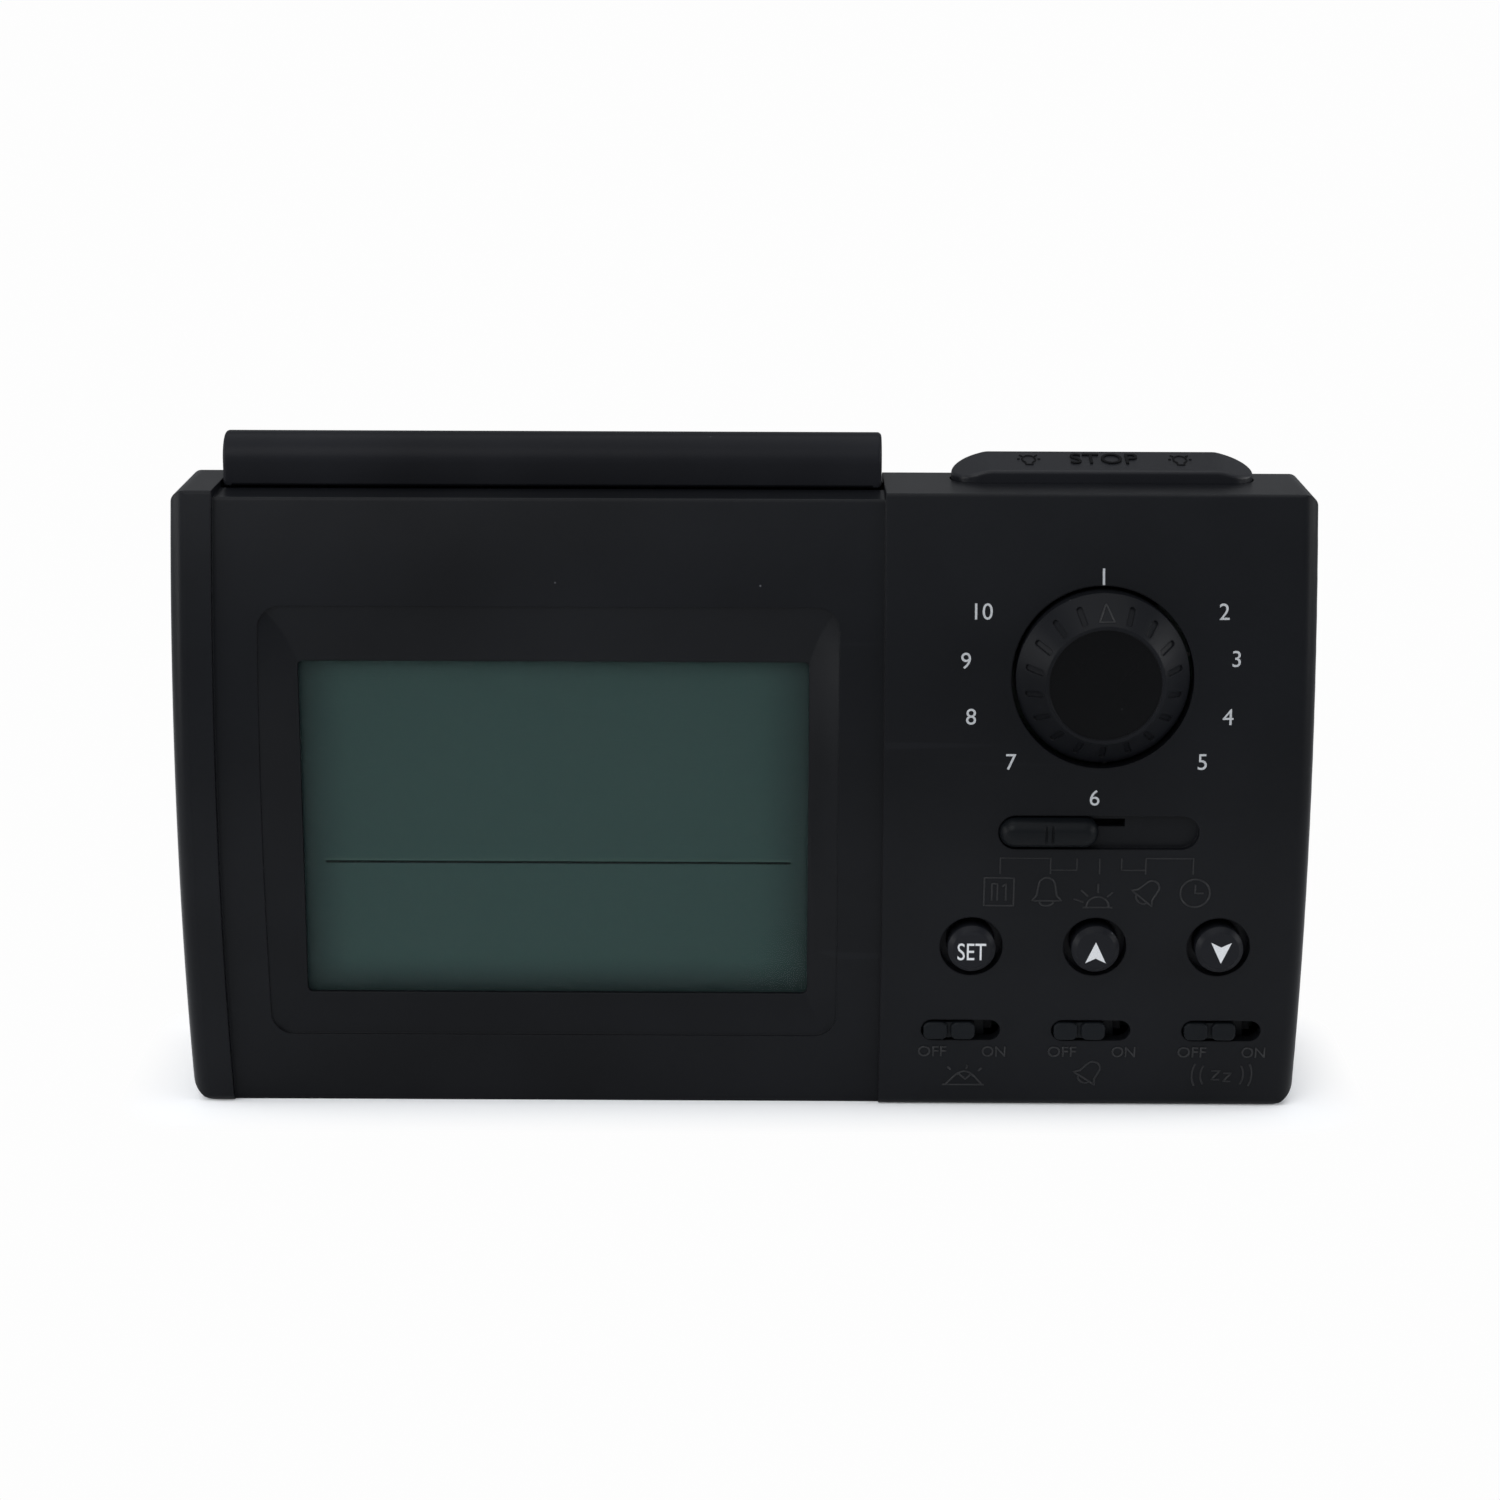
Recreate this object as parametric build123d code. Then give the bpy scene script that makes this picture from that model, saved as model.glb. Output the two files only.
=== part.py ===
from build123d import *
import os
from math import asin, atan2, cos, degrees, pi, radians, sin, sqrt, tan

# Azan clock. Millimetres, +X to the right of the face, +Y to the back, +Z up.
# The model is drawn with y = 0 on the foremost line of the case, and moved at the end so
# that the origin is the centre of the whole clock's footprint, on the surface it stands on.

# --- case ---------------------------------------------------------------------------
WIDTH = 160.0
HEIGHT = 90.0
DEPTH = 38.0              # foremost line of the face to the flat back
FACE_RADIUS = 174.0       # the face bulges in an upright arc
TOP_FLAT = 18.0           # flat top, from the face's top edge to the ridge
REAR_SLOPE = 38.0         # fall of the top behind the ridge, degrees
REAR_EDGE_R = 2.5
TOP_CORNER_R = 2.2        # corners of the case seen from the front
FOOT_CORNER_R = 4.0
SIDE_EDGE_R = 2.5         # upright edges of the face
FRONT_TOP_R = 0.5         # the face's top edge
FRONT_FOOT_R = 1.5        # and its bottom edge
BACK_EDGE_R = 1.2
WALL = 2.4
PART_Y = 25.0             # joint between the front and the rear shell
GAP = 0.3                 # usual gap round a loose piece
RUN = 0.05                # radial play of a shaft in its bore
ROOT = 0.6                # how far bosses and walls run into the shell they stand on
OVER = 1.0                # how far a cutting tool passes a surface
UPRIGHT = 0.01            # a direction this near to level or upright counts as such
SCREW_CLEAR = 0.2         # radial play of a screw in its board
HOLE_END = 0.5            # a screw's hole is this much deeper than the screw

# --- channel over the front, the top and the back -------------------------------------
LEFT_STRIP = 6.0          # raised strip left of the channel
CONTROL_ZONE = 60.25      # raised zone of the controls right of it
CHANNEL_LEFT = -WIDTH / 2 + LEFT_STRIP
CHANNEL_RIGHT = WIDTH / 2 - CONTROL_ZONE
CHANNEL_DEPTH = 1.2
CHANNEL_TOP = 1.0

# --- fold-out stand cover on the back --------------------------------------------------
LEAF_THICK = 2.0
COVER_GAP = 0.35          # between the cover's ends and the channel's sides
LEAF_BOTTOM = 5.0
LEAF_CORNER_R = 3.0
LEAF_INNER_R = 1.5
BARREL_R = 3.9
BARREL_WALL = 1.2
BARREL_BACK = 12.2        # barrel axis behind the face's top edge
BARREL_RISE = 3.7         # barrel axis above the channel
BARREL_LIP_GAP = 0.35     # from the lip of the barrel's upright front wall to the channel
BARREL_LIP_CUT = 0.3      # bevel along that lip
BARREL_NECK = 10.0        # straight stretch between the barrel and the leaf
BARREL_END_R = 0.6
TROUGH_DEEP = 1.5         # trough in the channel's top, in which the lip swings
TROUGH_GAP = 0.15         # from the front wall to the trough's edge
TROUGH_BACK = 2.6         # its rear edge behind the barrel's axis
CAP_THICK = 1.2
PIN_R = 0.8
EAR_COUNT = 4
EAR_INSET = 12.0          # end ears in from the channel's sides
EAR_WIDTH = 5.0
EAR_R = 2.2
EAR_STALK = 1.9
EAR_LEAN = 10.0           # lean of the ear's stalk to the back, degrees from upright
WEB_WIDTH = 1.6
SCOOP_WIDTH = 18.0
SCOOP_TOP = 9.0
SCOOP_BOTTOM = 1.8
SCOOP_DEPTH = 1.1

# --- display window ---------------------------------------------------------------------
FRAME_INSETS = (6.15, 6.3)         # from the channel's left and right side
FRAME_BOTTOM = 10.9
FRAME_HEAD = 15.8         # from the frame to the case's top
FRAME_LEFT, FRAME_RIGHT = CHANNEL_LEFT + FRAME_INSETS[0], CHANNEL_RIGHT - FRAME_INSETS[1]
FRAME_TOP = HEIGHT - FRAME_HEAD
FRAME_CORNER_R = 3.2
SLOPE_SIDES = (5.15, 4.2)          # width of the frame's left and right slope
SLOPE_ENDS = (6.1, 8.2)            # height of its lower and upper slope
VIEW_LEFT, VIEW_RIGHT = FRAME_LEFT + SLOPE_SIDES[0], FRAME_RIGHT - SLOPE_SIDES[1]
VIEW_BOTTOM, VIEW_TOP = FRAME_BOTTOM + SLOPE_ENDS[0], FRAME_TOP - SLOPE_ENDS[1]
VIEW_CORNER_R = 0.8
FRAME_STEP = 0.4          # small step down at the frame's outline
FRAME_FALL = 1.0          # the slopes end this far behind the frame's lower edge
FRAME_LIP = 0.8           # straight lip between the slope and the window
FRAME_RIM = 1.6           # material round the frame
LENS_THICK = 1.2
LENS_MARGIN = 1.8
LENS_CORNER_R = 1.0
PANEL_THICK = 2.2
PANEL_MARGIN = 1.3
PANEL_CORNER_R = 0.3
GUIDE_THICK = 3.0
GUIDE_END_GAP = 2.2       # from the view's left and right edges to the light guide's ends
GUIDE_SHORT = 2.0         # the guide stays this far inside the view at top and bottom
HOLDER_WALL = 0.9
HOLDER_BACK = 0.9
HOLDER_SNUG = 0.1         # play round the glass and the strips
HOLDER_BORDER = 3.5       # width of the holder's border behind the light guide
STRIP_HIGH = 1.8
STRIP_INSET = 0.5
STRIP_SHORT = 2.0         # the strips end this far inside the view
LED_INSET = 13.0
LED_ZS = (VIEW_BOTTOM + LED_INSET, VIEW_TOP - LED_INSET)
LED_LONG, LED_WIDE = 1.8, 3.0
LED_FRONT = 0.5           # the lamps' front behind the light guide's front

# --- main board -------------------------------------------------------------------------
BOARD_THICK = 1.6
BOARD_GAP = 1.4           # between the light guide and the board
BOARD_INSETS = (3.0, 2.1)          # from the channel's left and right side
BOARD_BOTTOM = 12.0
BOARD_HEAD = 22.0         # from the board to the case's top
BOARD_LEFT, BOARD_RIGHT = CHANNEL_LEFT + BOARD_INSETS[0], CHANNEL_RIGHT - BOARD_INSETS[1]
BOARD_TOP = HEIGHT - BOARD_HEAD
POST_R = 2.2
POST_HOLE_R = 0.9
BOARD_SCREW_HEAD_R = 1.9
BOARD_SCREW_HEAD = 1.2
BOARD_SCREW_LENGTH = 5.0
MAIN_POST_INSET_X = 2.8
MAIN_POST_INSETS_Z = (8.0, 6.0)    # from the board's lower and upper edge
CONTROLLER_CHIP = (14.0, 14.0, 1.6)
CONTROLLER_INSET = 29.0   # from the board's left edge
SOUND_CHIP = (10.0, 8.0, 1.4)
SOUND_INSET = 31.4        # from the board's right edge
CRYSTAL_LONG, CRYSTAL_R = 8.0, 1.5
CRYSTAL_RAISE = 14.0      # above the board's lower edge
CAPACITOR_R, CAPACITOR_HIGH = 3.2, 7.0
CAPACITOR_PITCH = 9.0
CAPACITOR_RAISE = 12.0
SOCKET_INSET = 9.4        # from the board's right edge
SOCKET_SIZE = (6.0, 4.0, 6.0)
SOCKET_GAP = 4.25         # between the flat cable and the sockets above and below it

# --- control board ----------------------------------------------------------------------
CONTROL_Y = 12.0
CONTROL_INSETS = (6.5, 5.5)        # from the channel and from the right side
CONTROL_BOTTOM = 10.2
CONTROL_HEAD = 17.0       # from the board to the case's top
CONTROL_POST_INSETS = (4.5, 5.0)   # from the board's left and right edge
CONTROL_POST_LOW = 9.2    # lower posts above the push buttons' middle
CONTROL_POST_HIGH = 7.4   # upper posts below the dial's middle

# --- flat cable and wires between the boards, the speaker and the batteries --------------
RIBBON_ON_BOARDS = (6.4, 7.0)      # the cable's length over the main and the control board
RIBBON_STEPS = (1.6, 1.0)          # where its step starts and ends, outside and inside them
RIBBON_WIDE = 10.0
RIBBON_GAP = 0.85         # between the cable and the screw head below it
RIBBON_THICK = 0.3
RIBBON_RISE = 0.6
RIBBON_SOCKET = (2.4, 1.8, 0.5)    # depth, height and overhang at each edge of the cable
WIRE_R = 0.5
WIRE_PITCH = 2.0
SPEAKER_WIRE_RUNS = (7.0, 13.5, 20.0)      # places of its points along X, from the socket
SPEAKER_WIRE_STEP = (4.0, 0.6)     # y and z of the middle point, from the socket's
BATTERY_WIRE_RUNS = (5.0, 13.0)
ARC_SHARE = 0.45          # part of a run that the arc at its end takes

# --- case screws ------------------------------------------------------------------------
SCREW_INSETS = (12.0, 3.0, 5.0)    # from the left side, the channel and the right side
SCREW_FOOT, SCREW_TOP = 6.5, 18.0  # from the case's bottom and top
BOSS_R = 3.2
SCREW_R = 1.25
SCREW_HOLE_R = 1.45
SCREW_HEAD_R = 2.3
SCREW_HEAD = 1.6
SCREW_SEAT_Y = 30.0
SCREW_LENGTH = 13.0
COUNTERBORE_R = 2.6
SCREW_CROSS = 0.6         # half length of the cross slot, as part of the head's radius

# --- dial -------------------------------------------------------------------------------
CONTROL_AXIS = 29.95      # middle line of the controls, from the right side
CONTROL_X = WIDTH / 2 - CONTROL_AXIS
DIAL_X = CONTROL_X
DIAL_DROP = 25.05         # the dial's middle below the case's top
DIAL_Z = HEIGHT - DIAL_DROP
DIAL_HOLE_R = 12.7
DIAL_BASE_R = 12.1
DIAL_TOP_R = 8.3
DIAL_RISE = 4.5           # top of the dial above the face
DIAL_SKIRT_Y = 1.2        # where the slope meets the upright base
DIAL_BASE_Y = 4.4
DIAL_WALL = 1.6
DIAL_RIM = 0.45
DIAL_DISH = 0.3
TICK_COUNT = 18
TICK_WIDTH = 0.8
TICK_DEPTH = 0.3
SHAFT_R = 1.5
BOSS_WALL = 1.7
ROTARY_SIZE = 12.0
ROTARY_Y = 6.6
SHAFT_INSIDE = 3.0        # length of the shaft in the switch's housing
TICK_SPAN = (0.12, 0.72)  # parts of the way down the slope where the ticks start and end
BUSHING_R = 3.0
BUSHING_HIGH = 1.2

# --- mode slider ------------------------------------------------------------------------
MODE_X = CONTROL_X
MODE_DROP = 2.1           # below the case's mid height
MODE_Z = HEIGHT / 2 - MODE_DROP
MODE_SLOT_LENGTH, MODE_SLOT_HIGH = 28.2, 4.9
MODE_FLOOR = 1.2
MODE_LENGTH, MODE_HIGH = 14.0, 4.3
MODE_PROUD = 1.5
MODE_ROUND = 1.9
MODE_END_GAP = 0.1
MODE_LEVER = (2.0, 0.8)   # lever's width and height in the slit
MODE_LEVER_UP = 1.2       # the slit runs this far above the slot's middle line
MODE_LEVER_LEFT = 4.6     # and the lever stands this far left of the slider's middle
MODE_LEVER_GAP = 0.15
MODE_LEVER_IN = 2.0       # the lever's length in its housing
MODE_HOUSING = (22.0, 7.0, 5.2)
MODE_CATCH = (4.0, 4.0, 0.8)
RIDGE_PITCH = 0.9
RIDGE_CUT = 0.35

# --- three small slide switches ---------------------------------------------------------
SWITCH_PITCH = 18.7
SWITCH_XS = (CONTROL_X - SWITCH_PITCH, CONTROL_X, CONTROL_X + SWITCH_PITCH)
SWITCH_Z = 12.5
SWITCH_SLOT_LENGTH, SWITCH_SLOT_HIGH = 11.35, 3.3
SWITCH_LENGTH, SWITCH_HIGH = 7.4, 2.6
SWITCH_PROUD = 0.6
SWITCH_ROUND = 0.3
SWITCH_WAIST = 0.5        # gap between the knob's two lobes
SWITCH_WAIST_DEEP = 0.7
SWITCH_LOBE_R = 0.9
SWITCH_END_GAP = 0.3
SWITCH_PLATE = (10.4, 4.6, 0.8)
SWITCH_HOUSING = (9.6, 4.4, 3.4)
SWITCH_LEVER = (1.6, 1.4)
SWITCH_LEVER_IN = 1.2
SWITCH_RAISE = 0.6        # the housing's middle above the knob's

# --- three push buttons -----------------------------------------------------------------
BUTTON_PITCH = 17.55
BUTTON_XS = (CONTROL_X - BUTTON_PITCH, CONTROL_X, CONTROL_X + BUTTON_PITCH)
BUTTON_Z = 25.75
BUTTON_R = 3.4
BUTTON_WELL_R = 4.45
BUTTON_FLANGE_R = 5.2
BUTTON_FLANGE = 1.0
BUTTON_PROUD = 1.6
BUTTON_BEVEL = 0.7
BUTTON_TRAVEL = 0.8
BUTTON_STEM_R = 1.5
TACT_SIZE = 6.0
TACT_HIGH = 3.5
TACT_PLUNGER_R = 1.7
TACT_PLUNGER = 1.0
TACT_GAP = 0.05

# --- long button on the top -------------------------------------------------------------
BAR_LONG = 42.8
BAR_SHIFT = 0.75          # its middle right of the controls' middle line
BAR_BACK = 8.8            # its front edge behind the face's top edge
BAR_DEEP = 7.6
BAR_RISE = 2.6            # of the middle of its top above the case
BAR_END_RISE = 1.2
BAR_END_SLOPE = 4.9       # length of the sloping ends
BAR_SLOPE_R = 4.0         # rounding where the slope leaves the straight middle
BAR_EDGE_R = 0.5
BAR_LEAN = 13.0           # its top leans towards the front
BAR_GAP = 0.25
BAR_FLANGE = 1.2          # thickness of the flange and its reach past the ends
BAR_FLANGE_SIDE = 0.5     # its reach past the front and back
BAR_TRAVEL = 1.0
BAR_STEM_R = 1.8
TOP_BOARD_LONG = 25.0
TOP_BOARD_DROP = 13.2     # below the case's top
TOP_BOARD_THICK = 1.2
TOP_POST_SPACING = 18.0
TOP_POST_BACK = 4.6       # posts behind the face's top edge
TOP_BOARD_FRONT = 2.4
TOP_BOARD_DEEP = 14.0
TOP_SCREW_LENGTH = 4.5

# --- speaker ----------------------------------------------------------------------------
SPEAKER_X = CONTROL_X
SPEAKER_MARGIN = 4.65      # from the speaker to the battery bay and to the sloped rear
SPEAKER_RIM = 2.0
SPEAKER_RING = 2.0
SPEAKER_DEEP = 9.8
SPEAKER_GASKET = 0.2      # soft ring between the speaker and the wall
MAGNET_R = 8.5
MAGNET_HIGH = 4.4
BASKET_THICK = 0.6
TERMINAL_REACH = 14.5
TERMINAL_THICK, TERMINAL_WIDE = 2.0, 6.0
CONE_THICK = 0.4
CONE_SURROUND = 2.0
CONE_CAP_R = 5.0
GRILLE_HOLE_R = 1.1
GRILLE_PITCH = 3.9
GRILLE_RINGS = 3
SEAT_RING = 1.0
SEAT_HIGH = 3.2

# --- batteries, two AAA cells side by side ----------------------------------------------
CELL_R = 5.25
CELL_LENGTH = 44.5
CELL_NUB_R = 1.9
CELL_NUB = 0.8
BAY_BOTTOM = 11.5
BAY_WALL = 1.2
CELL_GAP = 0.3
CONTACT_THICK = 0.4
SPRING_THICK = 0.35
SPRING_ROOM = 3.2         # between a cell's flat end and its contact
CONTACT_WIDE = 6.0
TAB_WIDE = 3.0
TAB_LONG = 3.0
DOOR_THICK = 1.6
DOOR_GAP = 0.25
DOOR_LEDGE = 1.5
DOOR_TAB_SPACING = 25.5
DOOR_TAB_WIDE = 6.0
DOOR_TAB_THICK = 1.4
DOOR_TAB_DROP = 1.5
DOOR_TAB_GAP = 0.4
DOOR_TAB_ROOM = 3.4       # depth of the pocket in which the tabs swing
DOOR_SEAT = 0.1           # gap behind the door
TONGUE_WIDE = 10.0
TONGUE_LONG = 5.0
TONGUE_SLIT = 0.6
NOTCH_WIDE, NOTCH_HIGH = 12.0, 3.0
GRIP_COUNT = 3
GRIP_START, GRIP_PITCH = 4.0, 1.6
GRIP_WIDE, GRIP_HIGH, GRIP_DEEP = 12.0, 0.7, 0.4

# --- worked out from the above ----------------------------------------------------------
MID_Z = HEIGHT / 2
FACE_SAG = FACE_RADIUS - sqrt(FACE_RADIUS ** 2 - MID_Z ** 2)
RIDGE_Y = FACE_SAG + TOP_FLAT
LEAF_RECESS = LEAF_THICK + GAP
AXIS_Y = FACE_SAG + BARREL_BACK
AXIS_Z = HEIGHT - CHANNEL_TOP + BARREL_RISE
EAR_PITCH = (CHANNEL_RIGHT - CHANNEL_LEFT - 2 * EAR_INSET) / (EAR_COUNT - 1)
EAR_XS = [CHANNEL_LEFT + EAR_INSET + EAR_PITCH * step for step in range(EAR_COUNT)]
BORE_R = BARREL_R - BARREL_WALL
BAR_Y = FACE_SAG + BAR_BACK + BAR_DEEP / 2
BAR_X = CONTROL_X + BAR_SHIFT
BAR_LEFT, BAR_RIGHT = BAR_X - BAR_LONG / 2, BAR_X + BAR_LONG / 2
TOP_BOARD_Z = HEIGHT - TOP_BOARD_DROP
TOP_BOARD_POSTS = (BAR_X - TOP_POST_SPACING / 2, BAR_X + TOP_POST_SPACING / 2)
BAY_LONG = CELL_LENGTH + 2 * CONTACT_THICK + SPRING_ROOM
BAY_LEFT, BAY_RIGHT = CONTROL_X - BAY_LONG / 2, CONTROL_X + BAY_LONG / 2
DOOR_TABS = (CONTROL_X - DOOR_TAB_SPACING / 2, CONTROL_X + DOOR_TAB_SPACING / 2)
DOOR_Y = DEPTH - DOOR_THICK
CELL_Y = DOOR_Y - 2 * CELL_GAP - CELL_R
BAY_Y = CELL_Y - CELL_R - CELL_GAP
BAY_TOP = BAY_BOTTOM + 4 * CELL_R + 3 * CELL_GAP + 0.3
CELL_ZS = (BAY_BOTTOM + CELL_GAP + CELL_R, BAY_TOP - CELL_GAP - CELL_R)
SHOULDER_Z = HEIGHT - (DEPTH - RIDGE_Y) * tan(radians(REAR_SLOPE))
SPEAKER_Z = (BAY_TOP + SHOULDER_Z) / 2
SPEAKER_R = (SHOULDER_Z - BAY_TOP) / 2 - SPEAKER_MARGIN
SCREW_XS = (-WIDTH / 2 + SCREW_INSETS[0], CHANNEL_RIGHT + SCREW_INSETS[1],
            WIDTH / 2 - SCREW_INSETS[2])
SCREW_PLACES = [(x, z) for x in SCREW_XS for z in (SCREW_FOOT, HEIGHT - SCREW_TOP)]
CONTROL_LEFT = CHANNEL_RIGHT + CONTROL_INSETS[0]
CONTROL_RIGHT = WIDTH / 2 - CONTROL_INSETS[1]
CONTROL_TOP = HEIGHT - CONTROL_HEAD
CONTROL_POST_XS = (CONTROL_LEFT + CONTROL_POST_INSETS[0], CONTROL_RIGHT - CONTROL_POST_INSETS[1])
CONTROL_POST_ZS = (BUTTON_Z + CONTROL_POST_LOW, DIAL_Z - CONTROL_POST_HIGH)
MAIN_POST_XS = (BOARD_LEFT + MAIN_POST_INSET_X, BOARD_RIGHT - MAIN_POST_INSET_X)
MAIN_POST_ZS = (BOARD_BOTTOM + MAIN_POST_INSETS_Z[0], BOARD_TOP - MAIN_POST_INSETS_Z[1])
MAIN_POSTS = [(x, z) for x in MAIN_POST_XS for z in MAIN_POST_ZS]
CONTROL_POSTS = [(x, z) for x in CONTROL_POST_XS for z in CONTROL_POST_ZS]
BACK_OF_CONTROL = CONTROL_Y + BOARD_THICK
RIBBON_Z = CONTROL_POST_ZS[0] + BOARD_SCREW_HEAD_R + RIBBON_GAP
RIBBON_XS = (BOARD_RIGHT - RIBBON_ON_BOARDS[0], CONTROL_LEFT + RIBBON_ON_BOARDS[1])
RIBBON_STEP_XS = (BOARD_RIGHT + RIBBON_STEPS[0], CONTROL_LEFT + RIBBON_STEPS[1])
SOCKET_REACH = SOCKET_GAP + SOCKET_SIZE[2] / 2
SOCKET_ZS = (RIBBON_Z - SOCKET_REACH, RIBBON_Z + RIBBON_WIDE + SOCKET_REACH)
SOCKET_RIGHT = BOARD_RIGHT - SOCKET_INSET
SHAFT_REAR_Y = ROTARY_Y + SHAFT_INSIDE
MODE_TRAVEL = MODE_SLOT_LENGTH - MODE_LENGTH - 2 * MODE_END_GAP
MODE_REST_X = MODE_X - MODE_TRAVEL / 2
MODE_LEVER_Z = MODE_Z + MODE_LEVER_UP
MODE_SWITCH_X = MODE_X - MODE_LEVER_LEFT
MODE_HOUSING_Y = CONTROL_Y - MODE_HOUSING[2]
SWITCH_TRAVEL = SWITCH_SLOT_LENGTH - SWITCH_LENGTH - 2 * SWITCH_END_GAP
SWITCH_HOUSING_Y = CONTROL_Y - SWITCH_HOUSING[2]
TACT_Y = CONTROL_Y - TACT_HIGH
BUTTON_STEM_Y = TACT_Y - TACT_PLUNGER - TACT_GAP - BUTTON_TRAVEL
SPEAKER_Y = DEPTH - WALL - SPEAKER_GASKET
BASKET_Y = SPEAKER_Y - SPEAKER_DEEP + MAGNET_HIGH
TERMINAL_X = SPEAKER_X - TERMINAL_REACH
TERMINAL_Y = BASKET_Y + BASKET_THICK / 2 - TERMINAL_THICK / 2
FAR = 60.0                # reach of cutting tools past the case


# --- drawing helpers --------------------------------------------------------------------
def block(x0, x1, y0, y1, z0, z1):
    """Box between two corners."""
    return Pos((x0 + x1) / 2, (y0 + y1) / 2, (z0 + z1) / 2) * Box(x1 - x0, y1 - y0, z1 - z0)


def rod_x(y, z, radius, x0, x1):
    """Cylinder along X."""
    return Pos((x0 + x1) / 2, y, z) * Rot(0, 90, 0) * Cylinder(radius, x1 - x0)


def rod_y(x, z, radius, y0, y1):
    """Cylinder along Y."""
    return Pos(x, (y0 + y1) / 2, z) * Rot(90, 0, 0) * Cylinder(radius, y1 - y0)


def rod_z(x, y, radius, z0, z1):
    """Cylinder along Z."""
    return Pos(x, y, (z0 + z1) / 2) * Cylinder(radius, z1 - z0)


def through_y(sketch, y0, y1):
    """Solid from a sketch drawn in X and Z, between two depths."""
    plane = Plane(origin=(0, y1, 0), x_dir=(1, 0, 0), z_dir=(0, -1, 0))
    return extrude(plane * sketch, y1 - y0)


def through_x(sketch, x0, x1):
    """Solid from a sketch drawn in Y and Z, between two places along X."""
    return extrude(Plane.YZ.offset(x0) * sketch, x1 - x0)


def outline(*points):
    """Straight-sided sketch through the given corners."""
    return make_face(Polyline(*points, close=True))


def spun_y(points, x, z):
    """Solid of revolution about a line along Y; points are (radius, y)."""
    return Pos(x, 0, z) * revolve(outline(*points), Axis.Y)


def arc_y(z, radius):
    """Depth of the upright arc of this radius, concentric with the face."""
    return FACE_RADIUS - sqrt(radius ** 2 - (z - MID_Z) ** 2)


def face_y(z, inset=0.0):
    """Depth of the face at a height, or of a surface behind it."""
    return arc_y(z, FACE_RADIUS - inset)


# Depths that follow the face's curve.
FRAME_INNER_Y = face_y(FRAME_BOTTOM, CHANNEL_DEPTH) + FRAME_FALL
LENS_Y = FRAME_INNER_Y + FRAME_LIP
PANEL_Y = LENS_Y + LENS_THICK
GUIDE_Y = PANEL_Y + PANEL_THICK
BOARD_Y = GUIDE_Y + GUIDE_THICK + BOARD_GAP
BACK_OF_MAIN = BOARD_Y + BOARD_THICK
WIRE_Y = BACK_OF_MAIN + SOCKET_SIZE[1] / 2
DIAL_TOP_Y = face_y(DIAL_Z) - DIAL_RISE
SHAFT_FRONT_Y = DIAL_TOP_Y + DIAL_DISH + DIAL_WALL
SWITCH_PLATE_Y = face_y(SWITCH_Z - SWITCH_PLATE[1] / 2, WALL) + GAP
BUTTON_FLANGE_Y = face_y(BUTTON_Z - BUTTON_FLANGE_R, WALL) + GAP / 2
CENTRE_Y = (DEPTH + DIAL_TOP_Y) / 2


def save(name, *pieces):
    """Write one node, in the clock's own frame."""
    solids = [solid for piece in pieces for solid in piece.solids()]
    moved = [Pos(0, -CENTRE_Y, 0) * solid for solid in solids]
    shape = moved[0] if len(moved) == 1 else Compound(children=moved)
    export_step(shape, f"parts/{name}.step")


# --- case shells ------------------------------------------------------------------------
def side_face(front=0.0, top=0.0, rear=0.0, bottom=0.0, rounding=REAR_EDGE_R,
              soft_front=False):
    """Side outline of the case, with each face moved in by its own amount."""
    z_top = HEIGHT - top
    slope = radians(REAR_SLOPE)
    y_rear = DEPTH - rear
    y_ridge = RIDGE_Y + (top * cos(slope) - rear) / sin(slope)
    z_shoulder = HEIGHT - ((y_rear - RIDGE_Y) * sin(slope) + rear) / cos(slope)
    low = (face_y(bottom, front), bottom)
    high = (face_y(z_top, front), z_top)
    arc = ThreePointArc(low, (front, MID_Z), high)
    back = Polyline(high, (y_ridge, z_top), (y_rear, z_shoulder), (y_rear, bottom), low)
    face = make_face(arc.edges() + back.edges())
    rear_corners = face.vertices().filter_by(
        lambda v: v.X > y_ridge - 0.01 and v.Y > z_shoulder - 0.01)
    face = fillet(rear_corners, rounding)
    if soft_front:
        for (y, z), radius in ((high, FRONT_TOP_R), (low, FRONT_FOOT_R)):
            face = fillet(face.vertices().sort_by_distance((y, z))[0], radius)
    return face


def case_slice(x0, x1, **insets):
    """Slice of the case's full body between two places along X."""
    return through_x(side_face(**insets), x0, x1)


def edge_tool(square, rod):
    """Cutting tool that rounds one edge: what a square bar has outside a rod."""
    return square - rod


def corner_tools():
    """Tools that round the four corners of the case seen from the front."""
    tools = []
    for x in (-WIDTH / 2, WIDTH / 2):
        for z, radius in ((0.0, FOOT_CORNER_R), (HEIGHT, TOP_CORNER_R)):
            x_mid = x - radius if x > 0 else x + radius
            z_mid = z - radius if z > 0 else z + radius
            square = block(min(x_mid, 2 * x - x_mid), max(x_mid, 2 * x - x_mid), -FAR, FAR,
                           min(z_mid, 2 * z - z_mid), max(z_mid, 2 * z - z_mid))
            tools.append(edge_tool(square, rod_y(x_mid, z_mid, radius, -FAR * 2, FAR * 2)))
    return tools


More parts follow.
